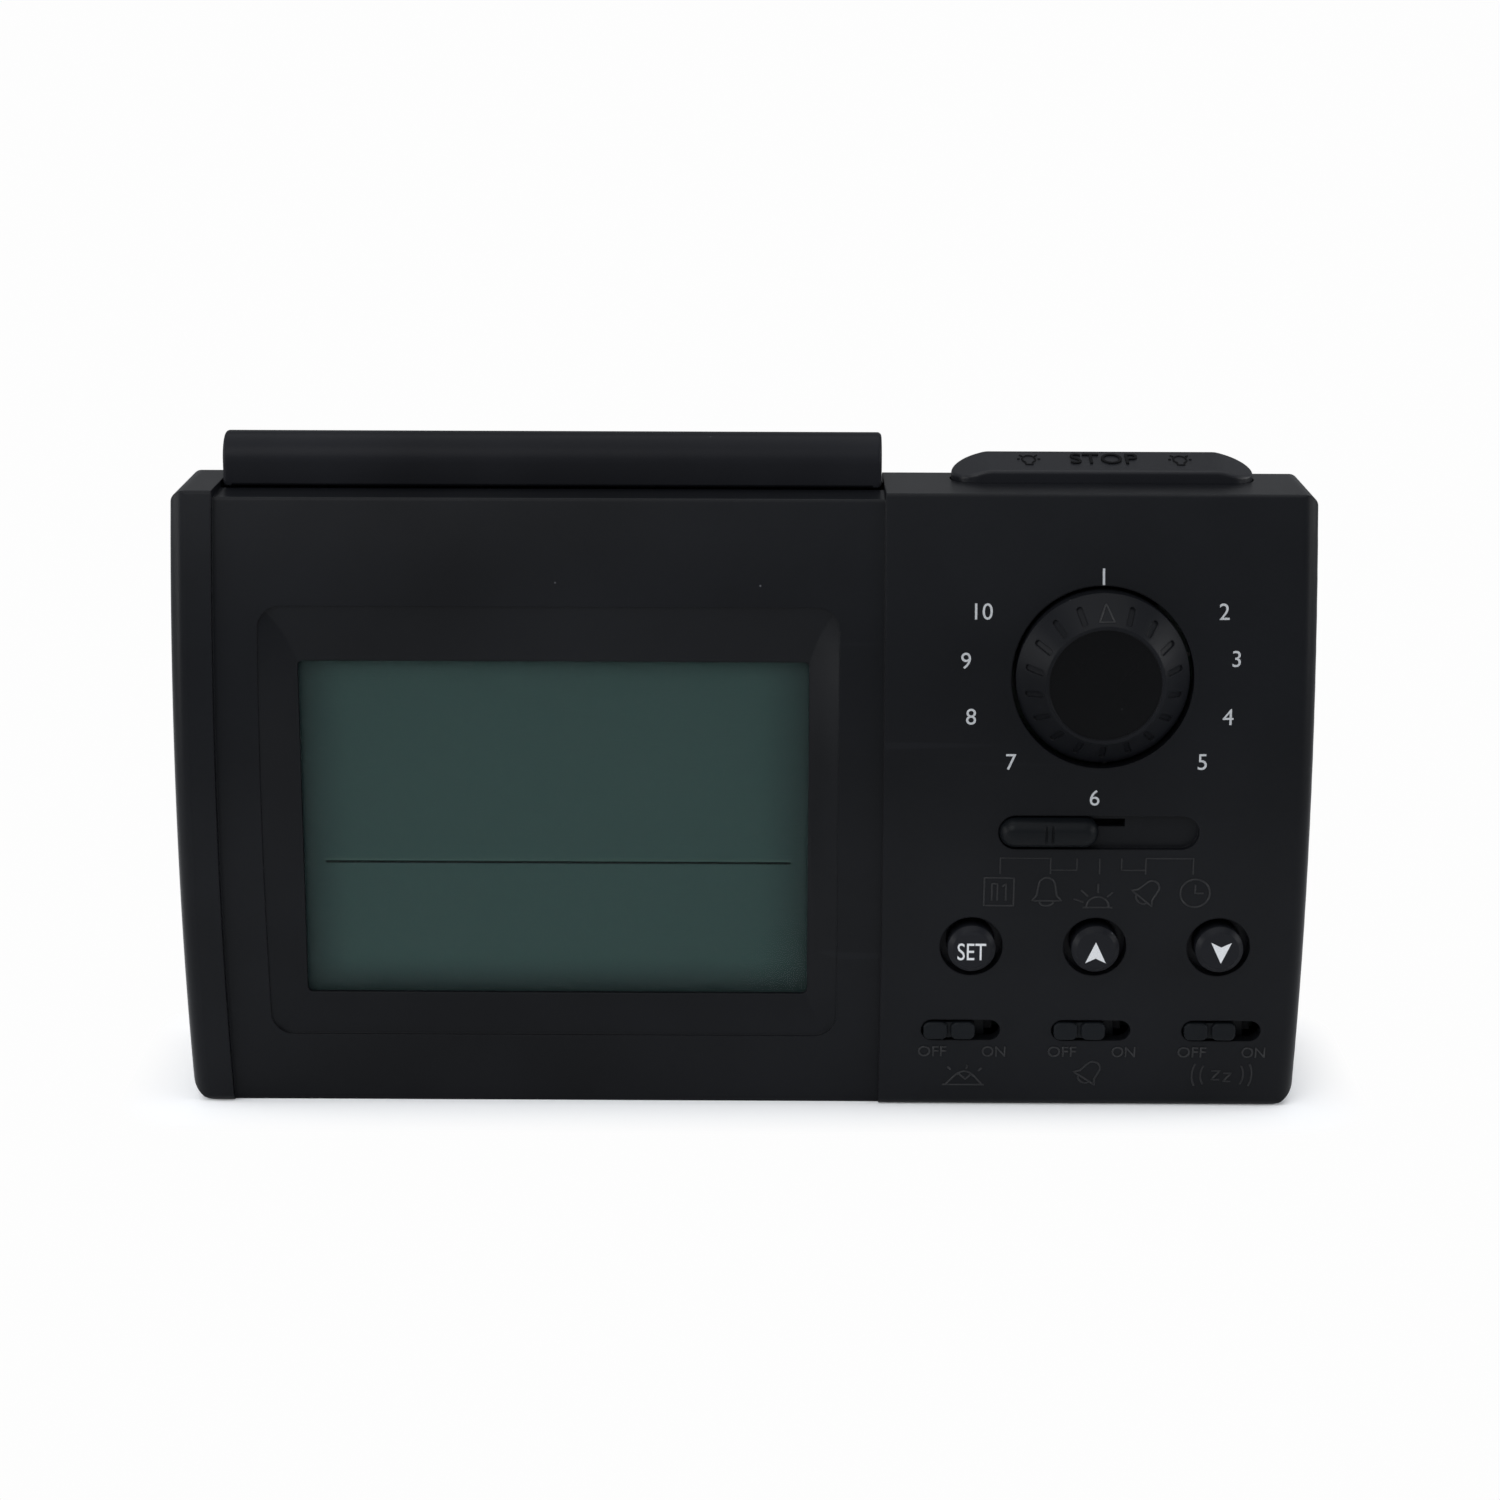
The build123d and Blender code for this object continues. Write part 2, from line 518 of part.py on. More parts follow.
def side_edge_tools():
    """Tools that round the two upright edges of the face: rings about the face's own axis."""
    tools = []
    reach = degrees(asin((HEIGHT - MID_Z + OVER) / (FACE_RADIUS - SIDE_EDGE_R)))
    turn = Pos(0, FACE_RADIUS, MID_Z) * Rot(-reach, 0, 0) * Pos(0, -FACE_RADIUS, 0)
    axis = Axis((0, FACE_RADIUS, MID_Z), (1, 0, 0))
    for side in (-1, 1):
        middle = side * (WIDTH / 2 - SIDE_EDGE_R)
        square = Pos(middle + side * SIDE_EDGE_R, 0) * Rectangle(2 * SIDE_EDGE_R, 2 * SIDE_EDGE_R)
        section = square - Pos(middle, SIDE_EDGE_R) * Circle(SIDE_EDGE_R)
        tools.append(revolve(turn * section, axis, 2 * reach))
    return tools


def back_edge_tools():
    """Tools that round the two upright edges of the back."""
    tools = []
    for x in (-WIDTH / 2, WIDTH / 2):
        x_mid = x - BACK_EDGE_R if x > 0 else x + BACK_EDGE_R
        square = block(min(x_mid, 2 * x - x_mid), max(x_mid, 2 * x - x_mid),
                       DEPTH - BACK_EDGE_R, DEPTH + BACK_EDGE_R, -FAR, HEIGHT + FAR)
        tools.append(edge_tool(square, rod_z(x_mid, DEPTH - BACK_EDGE_R, BACK_EDGE_R, -FAR * 2,
                                             HEIGHT + FAR * 2)))
    return tools


def outer_body():
    """The case as one full body, with rounded corners and edges."""
    body = case_slice(-WIDTH / 2, WIDTH / 2, soft_front=True)
    for tool in side_edge_tools() + corner_tools() + back_edge_tools():
        body -= tool
    return body


def channel_void():
    """What the channel takes off the body: shallow on the front and top, leaf-deep behind."""
    slab = block(CHANNEL_LEFT, CHANNEL_RIGHT, -FAR, FAR, -FAR, HEIGHT + FAR)
    kept = case_slice(CHANNEL_LEFT, CHANNEL_RIGHT, front=CHANNEL_DEPTH, top=CHANNEL_TOP,
                      rear=LEAF_RECESS, bottom=-FAR / 2, soft_front=True)
    foot = block(CHANNEL_LEFT, CHANNEL_RIGHT, PART_Y, FAR, -FAR, LEAF_BOTTOM - GAP)
    trough = block(CHANNEL_LEFT, CHANNEL_RIGHT, AXIS_Y - BARREL_R + TROUGH_GAP,
                   AXIS_Y + TROUGH_BACK, HEIGHT - CHANNEL_TOP - TROUGH_DEEP, HEIGHT)
    return slab - kept - foot + trough


def cavity():
    """The hollow inside the two shells."""
    step = CHANNEL_RIGHT + WALL
    left = case_slice(-WIDTH / 2 + WALL, step, front=CHANNEL_DEPTH + WALL,
                      top=CHANNEL_TOP + WALL, rear=LEAF_RECESS + WALL, bottom=WALL)
    right = case_slice(step, WIDTH / 2 - WALL, front=WALL, top=WALL, rear=WALL, bottom=WALL)
    return left + right


def inside_front():
    """Space in which ribs and posts may stand without showing on the face."""
    depth = CHANNEL_DEPTH + WALL / 2
    return case_slice(-WIDTH / 2 + ROOT, WIDTH / 2 - ROOT, front=depth, top=depth, rear=depth,
                      bottom=ROOT)


def frame_prism(margin, y0, y1):
    """Rounded block round the display's frame."""
    width = FRAME_RIGHT - FRAME_LEFT + 2 * margin
    height = FRAME_TOP - FRAME_BOTTOM + 2 * margin
    middle = Pos((FRAME_LEFT + FRAME_RIGHT) / 2, (FRAME_BOTTOM + FRAME_TOP) / 2)
    rounded = RectangleRounded(width, height, FRAME_CORNER_R + margin)
    return through_y(middle * rounded, y0, y1)


def frame_side(x_outer, x_inner):
    """Space in front of one upright side of the frame: its slope starts on the channel's
    curved floor and ends on a straight line beside the display."""
    z0, z1 = FRAME_BOTTOM - OVER, FRAME_TOP + OVER
    depth = CHANNEL_DEPTH + FRAME_STEP
    radius = FACE_RADIUS - depth
    arc = ThreePointArc((arc_y(z0, radius), z0), (depth, MID_Z), (arc_y(z1, radius), z1))
    rest = Polyline((arc_y(z1, radius), z1), (-FAR / 4, z1), (-FAR / 4, z0),
                    (arc_y(z0, radius), z0))
    outer = Plane.YZ.offset(x_outer) * make_face(arc.edges() + rest.edges())
    inner = Plane.YZ.offset(x_inner) * outline(
        (FRAME_INNER_Y, z0), (FRAME_INNER_Y, z1), (-FAR / 4, z1), (-FAR / 4, z0))
    return loft([outer, inner], ruled=True)


def frame_funnel():
    """The sloped recess round the display, and its window."""
    z0, z1 = FRAME_BOTTOM - OVER, FRAME_TOP + OVER
    middle = block(VIEW_LEFT, VIEW_RIGHT, -FAR / 4, FRAME_INNER_Y, z0, z1)
    sides = frame_side(FRAME_LEFT, VIEW_LEFT) + middle + frame_side(FRAME_RIGHT, VIEW_RIGHT)
    depth = CHANNEL_DEPTH + FRAME_STEP
    ends = through_x(outline(
        (-FAR / 4, FRAME_BOTTOM), (face_y(FRAME_BOTTOM, depth), FRAME_BOTTOM),
        (FRAME_INNER_Y, VIEW_BOTTOM), (FRAME_INNER_Y, VIEW_TOP),
        (face_y(FRAME_TOP, depth), FRAME_TOP), (-FAR / 4, FRAME_TOP)),
        FRAME_LEFT, FRAME_RIGHT)
    window = through_y(view_sketch(0, VIEW_CORNER_R), -FAR / 4, LENS_Y)
    return (frame_prism(0, -FAR / 4, FRAME_INNER_Y) & sides & ends) + window


def view_sketch(margin, corner_r):
    """Rounded rectangle of the display's view, larger by a margin."""
    size = (VIEW_RIGHT - VIEW_LEFT + 2 * margin, VIEW_TOP - VIEW_BOTTOM + 2 * margin)
    middle = Pos((VIEW_LEFT + VIEW_RIGHT) / 2, (VIEW_BOTTOM + VIEW_TOP) / 2)
    return middle * RectangleRounded(*size, corner_r)


def hinge_ears():
    """Leaning ears on the channel's top that carry the hinge pin."""
    lean = radians(EAR_LEAN)
    reach = (BARREL_RISE + TROUGH_DEEP + ROOT) / cos(lean)
    stalk = Pos(AXIS_Y, AXIS_Z) * Rot(0, 0, EAR_LEAN) * Pos(0, -reach / 2) * Rectangle(
        EAR_STALK, reach)
    head = Pos(AXIS_Y, AXIS_Z) * Circle(EAR_R)
    hole = Pos(AXIS_Y, AXIS_Z) * Circle(PIN_R)
    ear = stalk + head - hole
    return [through_x(ear, x - EAR_WIDTH / 2, x + EAR_WIDTH / 2) for x in EAR_XS]


def control_cuts():
    """Openings of the dial, the sliders, the buttons and the top button."""
    dial = rod_y(DIAL_X, DIAL_Z, DIAL_HOLE_R, -FAR, face_y(DIAL_Z + DIAL_HOLE_R, WALL) + OVER)
    recess = through_y(Pos(MODE_X, MODE_Z) * SlotOverall(MODE_SLOT_LENGTH, MODE_SLOT_HIGH),
                       -FAR, MODE_FLOOR)
    slit = mode_lever_room(-OVER, WALL + OVER)
    slots = [through_y(Pos(x, SWITCH_Z) * SlotOverall(SWITCH_SLOT_LENGTH, SWITCH_SLOT_HIGH),
                       -FAR, SWITCH_PLATE_Y) for x in SWITCH_XS]
    wells = [rod_y(x, BUTTON_Z, BUTTON_WELL_R, -FAR, BUTTON_FLANGE_Y) for x in BUTTON_XS]
    bar = extrude(Plane.XY.offset(HEIGHT - WALL - OVER) * bar_plan(BAR_GAP, BAR_GAP), FAR)
    return [dial, recess, slit, bar, *slots, *wells]


def mode_lever_room(y0, y1):
    """Space in which the mode slider's lever travels."""
    half_long = (MODE_TRAVEL + MODE_LEVER[0]) / 2 + GAP
    half_high = MODE_LEVER[1] / 2 + MODE_LEVER_GAP
    return block(MODE_SWITCH_X - half_long, MODE_SWITCH_X + half_long, y0, y1,
                 MODE_LEVER_Z - half_high, MODE_LEVER_Z + half_high)


def bar_plan(side, end):
    """Plan of the long button, larger by a margin at its sides and at its ends."""
    return Pos(BAR_X, BAR_Y) * SlotOverall(BAR_RIGHT - BAR_LEFT + 2 * end, BAR_DEEP + 2 * side)


def front_shell(body):
    """Front half of the case, with its posts, screw bosses and hinge ears."""
    half = block(-FAR * 2, FAR * 2, -FAR, PART_Y, -FAR, HEIGHT + FAR)
    shell = body & half
    ribs = frame_prism(FRAME_RIM, 0, LENS_Y)
    for x, z in SCREW_PLACES:
        ribs += rod_y(x, z, BOSS_R, 0, PART_Y)
    for x, z in MAIN_POSTS:
        ribs += rod_y(x, z, POST_R, 0, BOARD_Y)
    for x, z in CONTROL_POSTS:
        ribs += rod_y(x, z, POST_R, 0, CONTROL_Y)
    for x in TOP_BOARD_POSTS:
        ribs += rod_z(x, FACE_SAG + TOP_POST_BACK, POST_R, TOP_BOARD_Z + TOP_BOARD_THICK, HEIGHT)
    shell += ribs & inside_front()
    for ear in hinge_ears():
        shell += ear
    shell -= frame_funnel()
    for cut in control_cuts():
        shell -= cut
    for x, z in SCREW_PLACES:
        shell -= rod_y(x, z, SCREW_R, SCREW_SEAT_Y - SCREW_LENGTH - HOLE_END,
                       PART_Y)
    for x, z in MAIN_POSTS:
        shell -= rod_y(x, z, POST_HOLE_R, BOARD_Y + BOARD_THICK - BOARD_SCREW_LENGTH, BOARD_Y)
    for x, z in CONTROL_POSTS:
        shell -= rod_y(x, z, POST_HOLE_R, CONTROL_Y + BOARD_THICK - BOARD_SCREW_LENGTH,
                       CONTROL_Y)
    for x in TOP_BOARD_POSTS:
        shell -= rod_z(x, FACE_SAG + TOP_POST_BACK, POST_HOLE_R, TOP_BOARD_Z,
                       TOP_BOARD_Z + BOARD_SCREW_LENGTH)
    return shell


def grille_holes():
    """Rings of round holes over the speaker."""
    holes = [rod_y(SPEAKER_X, SPEAKER_Z, GRILLE_HOLE_R, PART_Y, FAR)]
    for ring in range(1, GRILLE_RINGS + 1):
        for step in range(6 * ring):
            angle = 2 * pi * step / (6 * ring)
            holes.append(rod_y(SPEAKER_X + ring * GRILLE_PITCH * cos(angle),
                               SPEAKER_Z + ring * GRILLE_PITCH * sin(angle),
                               GRILLE_HOLE_R, PART_Y, FAR))
    return holes


def bay_block():
    """Walls and floor of the battery bay, before it is hollowed."""
    return block(BAY_LEFT - BAY_WALL, BAY_RIGHT + BAY_WALL, BAY_Y - BAY_WALL, DEPTH - WALL / 2,
                 BAY_BOTTOM - BAY_WALL, BAY_TOP + BAY_WALL)


def bay_cuts():
    """The bay's hollow, the door's pocket, its tab slots and the finger notch."""
    hollow = block(BAY_LEFT, BAY_RIGHT, BAY_Y, FAR, BAY_BOTTOM, BAY_TOP)
    pocket = block(BAY_LEFT - DOOR_LEDGE, BAY_RIGHT + DOOR_LEDGE, DOOR_Y - DOOR_SEAT, FAR,
                   BAY_BOTTOM - DOOR_LEDGE, BAY_TOP + DOOR_LEDGE)
    cuts = [hollow, pocket]
    for x in DOOR_TABS:
        half = DOOR_TAB_WIDE / 2 + GAP
        cuts.append(block(x - half, x + half, DEPTH - WALL - DOOR_TAB_ROOM, DEPTH - WALL,
                          BAY_BOTTOM - DOOR_LEDGE - DOOR_TAB_DROP - HOLE_END, BAY_BOTTOM + OVER))
        cuts.append(block(x - half, x + half, DEPTH - WALL, DOOR_Y,
                          BAY_BOTTOM - DOOR_LEDGE, BAY_BOTTOM + OVER))
    notch_x = (BAY_LEFT + BAY_RIGHT) / 2
    notch_z = BAY_TOP + DOOR_LEDGE
    cuts.append(block(notch_x - NOTCH_WIDE / 2, notch_x + NOTCH_WIDE / 2, DOOR_Y + DOOR_SEAT,
                      FAR, notch_z - OVER, notch_z + NOTCH_HIGH))
    for x, z in contact_tabs():
        cuts.append(block(x, x + CONTACT_THICK, BAY_Y - FAR / 4, BAY_Y + OVER,
                          z - TAB_WIDE / 2, z + TAB_WIDE / 2))
    return cuts


def contact_tabs():
    """Where the two left-hand contacts pass through the bay's floor."""
    return [(BAY_LEFT, z) for z in CELL_ZS]


def rear_shell(body):
    """Rear half of the case, with the speaker's seat, the grille and the battery bay."""
    half = block(-FAR * 2, FAR * 2, PART_Y, FAR, -FAR, HEIGHT + FAR)
    shell = body & half
    inside = case_slice(-WIDTH / 2 + ROOT, WIDTH / 2 - ROOT, front=-FAR / 2, top=WALL / 2,
                        rear=LEAF_RECESS + ROOT, bottom=ROOT)
    for x, z in SCREW_PLACES:
        shell += rod_y(x, z, BOSS_R, PART_Y, DEPTH - ROOT) & inside
    seat = rod_y(SPEAKER_X, SPEAKER_Z, SPEAKER_R + GAP + SEAT_RING, DEPTH - WALL - SEAT_HIGH,
                 DEPTH - WALL / 2)
    seat -= rod_y(SPEAKER_X, SPEAKER_Z, SPEAKER_R + GAP, PART_Y, DEPTH - WALL)
    shell += seat
    scoop_x = (CHANNEL_LEFT + CHANNEL_RIGHT) / 2
    shell += block(scoop_x - SCOOP_WIDTH / 2 - WALL, scoop_x + SCOOP_WIDTH / 2 + WALL,
                   DEPTH - LEAF_RECESS - WALL - SCOOP_DEPTH, DEPTH - LEAF_RECESS - WALL / 2,
                   ROOT, SCOOP_TOP + WALL)
    shell += bay_block()
    for cut in bay_cuts() + grille_holes():
        shell -= cut
    shell -= block(scoop_x - SCOOP_WIDTH / 2, scoop_x + SCOOP_WIDTH / 2,
                   DEPTH - LEAF_RECESS - SCOOP_DEPTH, FAR, SCOOP_BOTTOM, SCOOP_TOP)
    for x, z in SCREW_PLACES:
        shell -= rod_y(x, z, SCREW_HOLE_R, PART_Y - OVER, FAR)
        shell -= rod_y(x, z, COUNTERBORE_R, SCREW_SEAT_Y, FAR)
    return shell


def case_screws():
    """Six recessed screws that hold the shells together."""
    return [rod_y(x, z, SCREW_R, SCREW_SEAT_Y - SCREW_LENGTH, SCREW_SEAT_Y)
            + screw_head(x, z, SCREW_SEAT_Y, SCREW_HEAD_R, SCREW_HEAD) for x, z in SCREW_PLACES]


def screw_head(x, z, y, radius, high):
    """Cross-slotted pan head whose underside lies at y and that faces the back."""
    head = rod_y(x, z, radius, y, y + high)
    slot = radius * SCREW_CROSS
    head -= block(x - slot, x + slot, y + high / 2, FAR, z - slot / 4, z + slot / 4)
    head -= block(x - slot / 4, x + slot / 4, y + high / 2, FAR, z - slot, z + slot)
    return head


# --- stand cover ------------------------------------------------------------------------
def stand_cover():
    """Hinged leaf on the back whose barrel forms the bar along the top edge."""
    slope = radians(REAR_SLOPE)
    along, normal = Vector(cos(slope), -sin(slope)), Vector(sin(slope), cos(slope))
    axis = Vector(AXIS_Y, AXIS_Z)
    plane_rise = (axis - Vector(RIDGE_Y, HEIGHT)).dot(normal)
    under = axis + normal * (-plane_rise - LEAF_THICK)
    over = axis + normal * -plane_rise
    left, right = CHANNEL_LEFT + COVER_GAP, CHANNEL_RIGHT - COVER_GAP
    before, below = axis - Vector(FAR, 0), axis - Vector(0, FAR)
    opening = outline(*[(p.X, p.Y) for p in
                        (axis, under, under + along * FAR, below + along * FAR, below, before)])
    lip_z = HEIGHT - CHANNEL_TOP + BARREL_LIP_GAP
    front_y = AXIS_Y - BARREL_R
    wall = outline((front_y, AXIS_Z), (AXIS_Y - BORE_R, AXIS_Z), (AXIS_Y - BORE_R, lip_z),
                   (front_y + BARREL_LIP_CUT, lip_z), (front_y, lip_z + BARREL_LIP_CUT))
    ring = Pos(AXIS_Y, AXIS_Z) * (Circle(BARREL_R) - Circle(BORE_R))
    leaf = side_face(bottom=LEAF_BOTTOM) - side_face(
        front=-FAR, rear=LEAF_THICK, bottom=-FAR, rounding=LEAF_INNER_R)
    far_back = axis + along * FAR
    behind = outline(*[(p.X, p.Y) for p in
                       (under, over, far_back + normal * FAR, far_back - Vector(0, 2 * FAR),
                        under - Vector(0, 2 * FAR))])
    neck_end = along * BARREL_NECK
    neck = outline(*[(p.X, p.Y) for p in (under, over, over + neck_end, under + neck_end)])
    hollow = Pos(AXIS_Y, AXIS_Z) * Circle(BORE_R)
    cover = through_x((leaf & behind) + neck - hollow, left, right)
    corners = through_y(Pos((left + right) / 2, MID_Z) * RectangleRounded(
        right - left, HEIGHT - 2 * LEAF_BOTTOM, LEAF_CORNER_R), RIDGE_Y, FAR)
    cover &= corners + block(left, right, -FAR, FAR, MID_Z, HEIGHT + FAR)
    cover += through_x((ring - opening) + wall, left + CAP_THICK / 2, right - CAP_THICK / 2)
    cap_sketch = Pos(AXIS_Y, AXIS_Z) * Circle(BARREL_R) + outline(
        (front_y, AXIS_Z), (AXIS_Y, AXIS_Z), (AXIS_Y, lip_z), (front_y, lip_z))
    bore = Circle(PIN_R + RUN)
    for x, end in ((left, 0), (right - CAP_THICK, -1)):
        cap = through_x(cap_sketch, x, x + CAP_THICK)
        cap = fillet(cap.faces().sort_by(Axis.X)[end].edges(), BARREL_END_R)
        cover += cap - through_x(Pos(AXIS_Y, AXIS_Z) * bore, x - OVER, x + CAP_THICK + OVER)
    web = through_x(Pos(AXIS_Y, AXIS_Z) * (Circle(BORE_R + BARREL_WALL / 2) - bore), 0,
                    WEB_WIDTH)
    for x in EAR_XS:
        cover += Pos(x - EAR_WIDTH / 2 - GAP - WEB_WIDTH, 0, 0) * web
        cover += Pos(x + EAR_WIDTH / 2 + GAP, 0, 0) * web
    return cover


def hinge_pin():
    """Steel rod through the ears and the barrel."""
    return rod_x(AXIS_Y, AXIS_Z, PIN_R, CHANNEL_LEFT + COVER_GAP + GAP,
                 CHANNEL_RIGHT - COVER_GAP - GAP)


# --- display stack ----------------------------------------------------------------------
def lcd_lens():
    """Clear window glued behind the frame's lip."""
    return through_y(view_sketch(LENS_MARGIN, LENS_CORNER_R), LENS_Y, PANEL_Y)


def lcd_panel():
    """Liquid crystal glass: a larger front plate on a smaller rear one."""
    middle_y = PANEL_Y + PANEL_THICK / 2
    front = through_y(view_sketch(PANEL_MARGIN, PANEL_CORNER_R), PANEL_Y, middle_y)
    ledge = STRIP_INSET + STRIP_HIGH
    rear = block(VIEW_LEFT - PANEL_MARGIN, VIEW_RIGHT + PANEL_MARGIN, middle_y, GUIDE_Y,
                 VIEW_BOTTOM - PANEL_MARGIN + ledge, VIEW_TOP + PANEL_MARGIN - ledge)
    return front + rear


def lcd_backlight():
    """Light guide plate behind the glass."""
    return block(VIEW_LEFT + GUIDE_END_GAP, VIEW_RIGHT + PANEL_MARGIN - HOLDER_SNUG,
                 GUIDE_Y, GUIDE_Y + GUIDE_THICK, VIEW_BOTTOM + GUIDE_SHORT,
                 VIEW_TOP - GUIDE_SHORT)


def lcd_holder():
    """Frame that clips the glass and the light guide against the window."""
    inner = PANEL_MARGIN + HOLDER_SNUG
    y_back = GUIDE_Y + GUIDE_THICK
    frame = through_y(view_sketch(inner + HOLDER_WALL, LENS_CORNER_R), PANEL_Y,
                      y_back + HOLDER_BACK)
    frame -= through_y(view_sketch(inner, PANEL_CORNER_R), PANEL_Y - OVER, y_back)
    frame -= block(VIEW_LEFT + HOLDER_BORDER, VIEW_RIGHT - HOLDER_BORDER, y_back - OVER, FAR,
                   VIEW_BOTTOM + HOLDER_BORDER, VIEW_TOP - HOLDER_BORDER)
    for z0, z1 in strip_spans():
        frame -= block(VIEW_LEFT, VIEW_RIGHT, y_back - OVER, FAR, z0 - HOLDER_SNUG,
                       z1 + HOLDER_SNUG)
    for z in LED_ZS:
        half = LED_WIDE / 2 + GAP
        frame -= block(VIEW_LEFT - GAP, VIEW_LEFT + LED_LONG + GAP, y_back - OVER, FAR, z - half,
                       z + half)
    return frame


def strip_spans():
    """Heights of the two contact strips, along the glass's bottom and top ledges."""
    low = VIEW_BOTTOM - PANEL_MARGIN + STRIP_INSET
    high = VIEW_TOP + PANEL_MARGIN - STRIP_INSET
    return [(low, low + STRIP_HIGH), (high - STRIP_HIGH, high)]


def contact_strips():
    """Striped rubber that joins the glass to the board."""
    return [block(VIEW_LEFT + STRIP_SHORT, VIEW_RIGHT - STRIP_SHORT, PANEL_Y + PANEL_THICK / 2,
                  BOARD_Y, z0, z1) for z0, z1 in strip_spans()]


# --- boards and what is on them -----------------------------------------------------------
def board_screw(x, z, y):
    """Small screw through a board into its post; the head lies on the board's back."""
    return rod_y(x, z, POST_HOLE_R, y - BOARD_SCREW_LENGTH, y) + screw_head(
        x, z, y, BOARD_SCREW_HEAD_R, BOARD_SCREW_HEAD)


def main_board():
    """Circuit board behind the display."""
    board = block(BOARD_LEFT, BOARD_RIGHT, BOARD_Y, BACK_OF_MAIN, BOARD_BOTTOM, BOARD_TOP)
    for x, z in MAIN_POSTS:
        board -= rod_y(x, z, POST_HOLE_R + SCREW_CLEAR, 0, FAR)
    return board


def control_board():
    """Circuit board behind the controls, cut away round the screw bosses."""
    board = block(CONTROL_LEFT, CONTROL_RIGHT, CONTROL_Y, BACK_OF_CONTROL, CONTROL_BOTTOM,
                  CONTROL_TOP)
    for x, z in SCREW_PLACES:
        board -= rod_y(x, z, BOSS_R + 2 * GAP, 0, FAR)
    for x, z in CONTROL_POSTS:
        board -= rod_y(x, z, POST_HOLE_R + SCREW_CLEAR, 0, FAR)
    return board


def top_board():
    """Small board under the long button."""
    y0 = FACE_SAG + TOP_BOARD_FRONT
    board = block(BAR_X - TOP_BOARD_LONG / 2, BAR_X + TOP_BOARD_LONG / 2, y0, y0 + TOP_BOARD_DEEP,
                  TOP_BOARD_Z, TOP_BOARD_Z + TOP_BOARD_THICK)
    for x in TOP_BOARD_POSTS:
        board -= rod_z(x, FACE_SAG + TOP_POST_BACK, POST_HOLE_R + SCREW_CLEAR, 0, HEIGHT)
    return board


def top_board_screws():
    """Screws from below into the hanging posts."""
    y = FACE_SAG + TOP_POST_BACK
    return [rod_z(x, y, POST_HOLE_R, TOP_BOARD_Z, TOP_BOARD_Z + TOP_SCREW_LENGTH)
            + rod_z(x, y, BOARD_SCREW_HEAD_R, TOP_BOARD_Z - BOARD_SCREW_HEAD, TOP_BOARD_Z)
            for x in TOP_BOARD_POSTS]


def chip(x, size):
    """Flat chip on the main board's back, at its mid height."""
    wide, high, thick = size
    z = (BOARD_BOTTOM + BOARD_TOP) / 2
    return block(x - wide / 2, x + wide / 2, BACK_OF_MAIN, BACK_OF_MAIN + thick, z - high / 2,
                 z + high / 2)


def quartz_crystal():
    """Small can that lies on the board."""
    middle = BOARD_LEFT + CONTROLLER_INSET
    return rod_x(BACK_OF_MAIN + CRYSTAL_R, BOARD_BOTTOM + CRYSTAL_RAISE, CRYSTAL_R,
                 middle - CRYSTAL_LONG / 2, middle + CRYSTAL_LONG / 2)


def backlight_leds():
    """Two lamps at the light guide's end."""
    return [block(VIEW_LEFT, VIEW_LEFT + LED_LONG, GUIDE_Y + LED_FRONT, BOARD_Y,
                  z - LED_WIDE / 2, z + LED_WIDE / 2) for z in LED_ZS]


def capacitors():
    """Two upright cans."""
    middle = BOARD_RIGHT - SOUND_INSET
    return [rod_y(middle + offset, BOARD_BOTTOM + CAPACITOR_RAISE, CAPACITOR_R, BACK_OF_MAIN,
                  BACK_OF_MAIN + CAPACITOR_HIGH) for offset in (0, CAPACITOR_PITCH)]


def wire_sockets():
    """Plug sockets for the speaker's and the batteries' leads."""
    long, deep, high = SOCKET_SIZE
    return [block(SOCKET_RIGHT - long, SOCKET_RIGHT, BACK_OF_MAIN, BACK_OF_MAIN + deep,
                  z - high / 2, z + high / 2) for z in SOCKET_ZS]


def wire(*points):
    """Round wire along straight runs with arcs as large as the runs allow."""
    route = [Vector(*p) for p in points]
    radii = []
    for before, here, after in zip(route, route[1:], route[2:]):
        runs = here - before, after - here
        half_turn = radians(runs[0].get_angle(runs[1])) / 2
        shorter = min(runs[0].length, runs[1].length)
        radii.append(ARC_SHARE * shorter * cos(half_turn) / sin(half_turn))
    path = FilletPolyline(*route, radius=radii)
    tube = sweep(Plane(path ^ 0) * Circle(WIRE_R), path=path)
    section = pi * WIRE_R ** 2 * path.length
    print("wire radii", [round(r, 1) for r in radii], "length", round(path.length, 1),
          "volume over section times length", round(tube.volume / section, 4))
    return tube


def speaker_wires():
    """Pair of wires from the main board to the speaker's terminals."""
    start_x, middle_x, end_x = [SOCKET_RIGHT + run for run in SPEAKER_WIRE_RUNS]
    step_y, step_z = SPEAKER_WIRE_STEP
    wires = []
    for dz in (-WIRE_PITCH / 2, WIRE_PITCH / 2):
        start_z = SOCKET_ZS[1] + dz
        end_z = SPEAKER_Z + dz
        wires.append(wire((SOCKET_RIGHT, WIRE_Y, start_z), (start_x, WIRE_Y, start_z),
                          (middle_x, WIRE_Y + step_y, start_z + step_z),
                          (end_x, TERMINAL_Y, end_z), (TERMINAL_X, TERMINAL_Y, end_z)))
    return wires


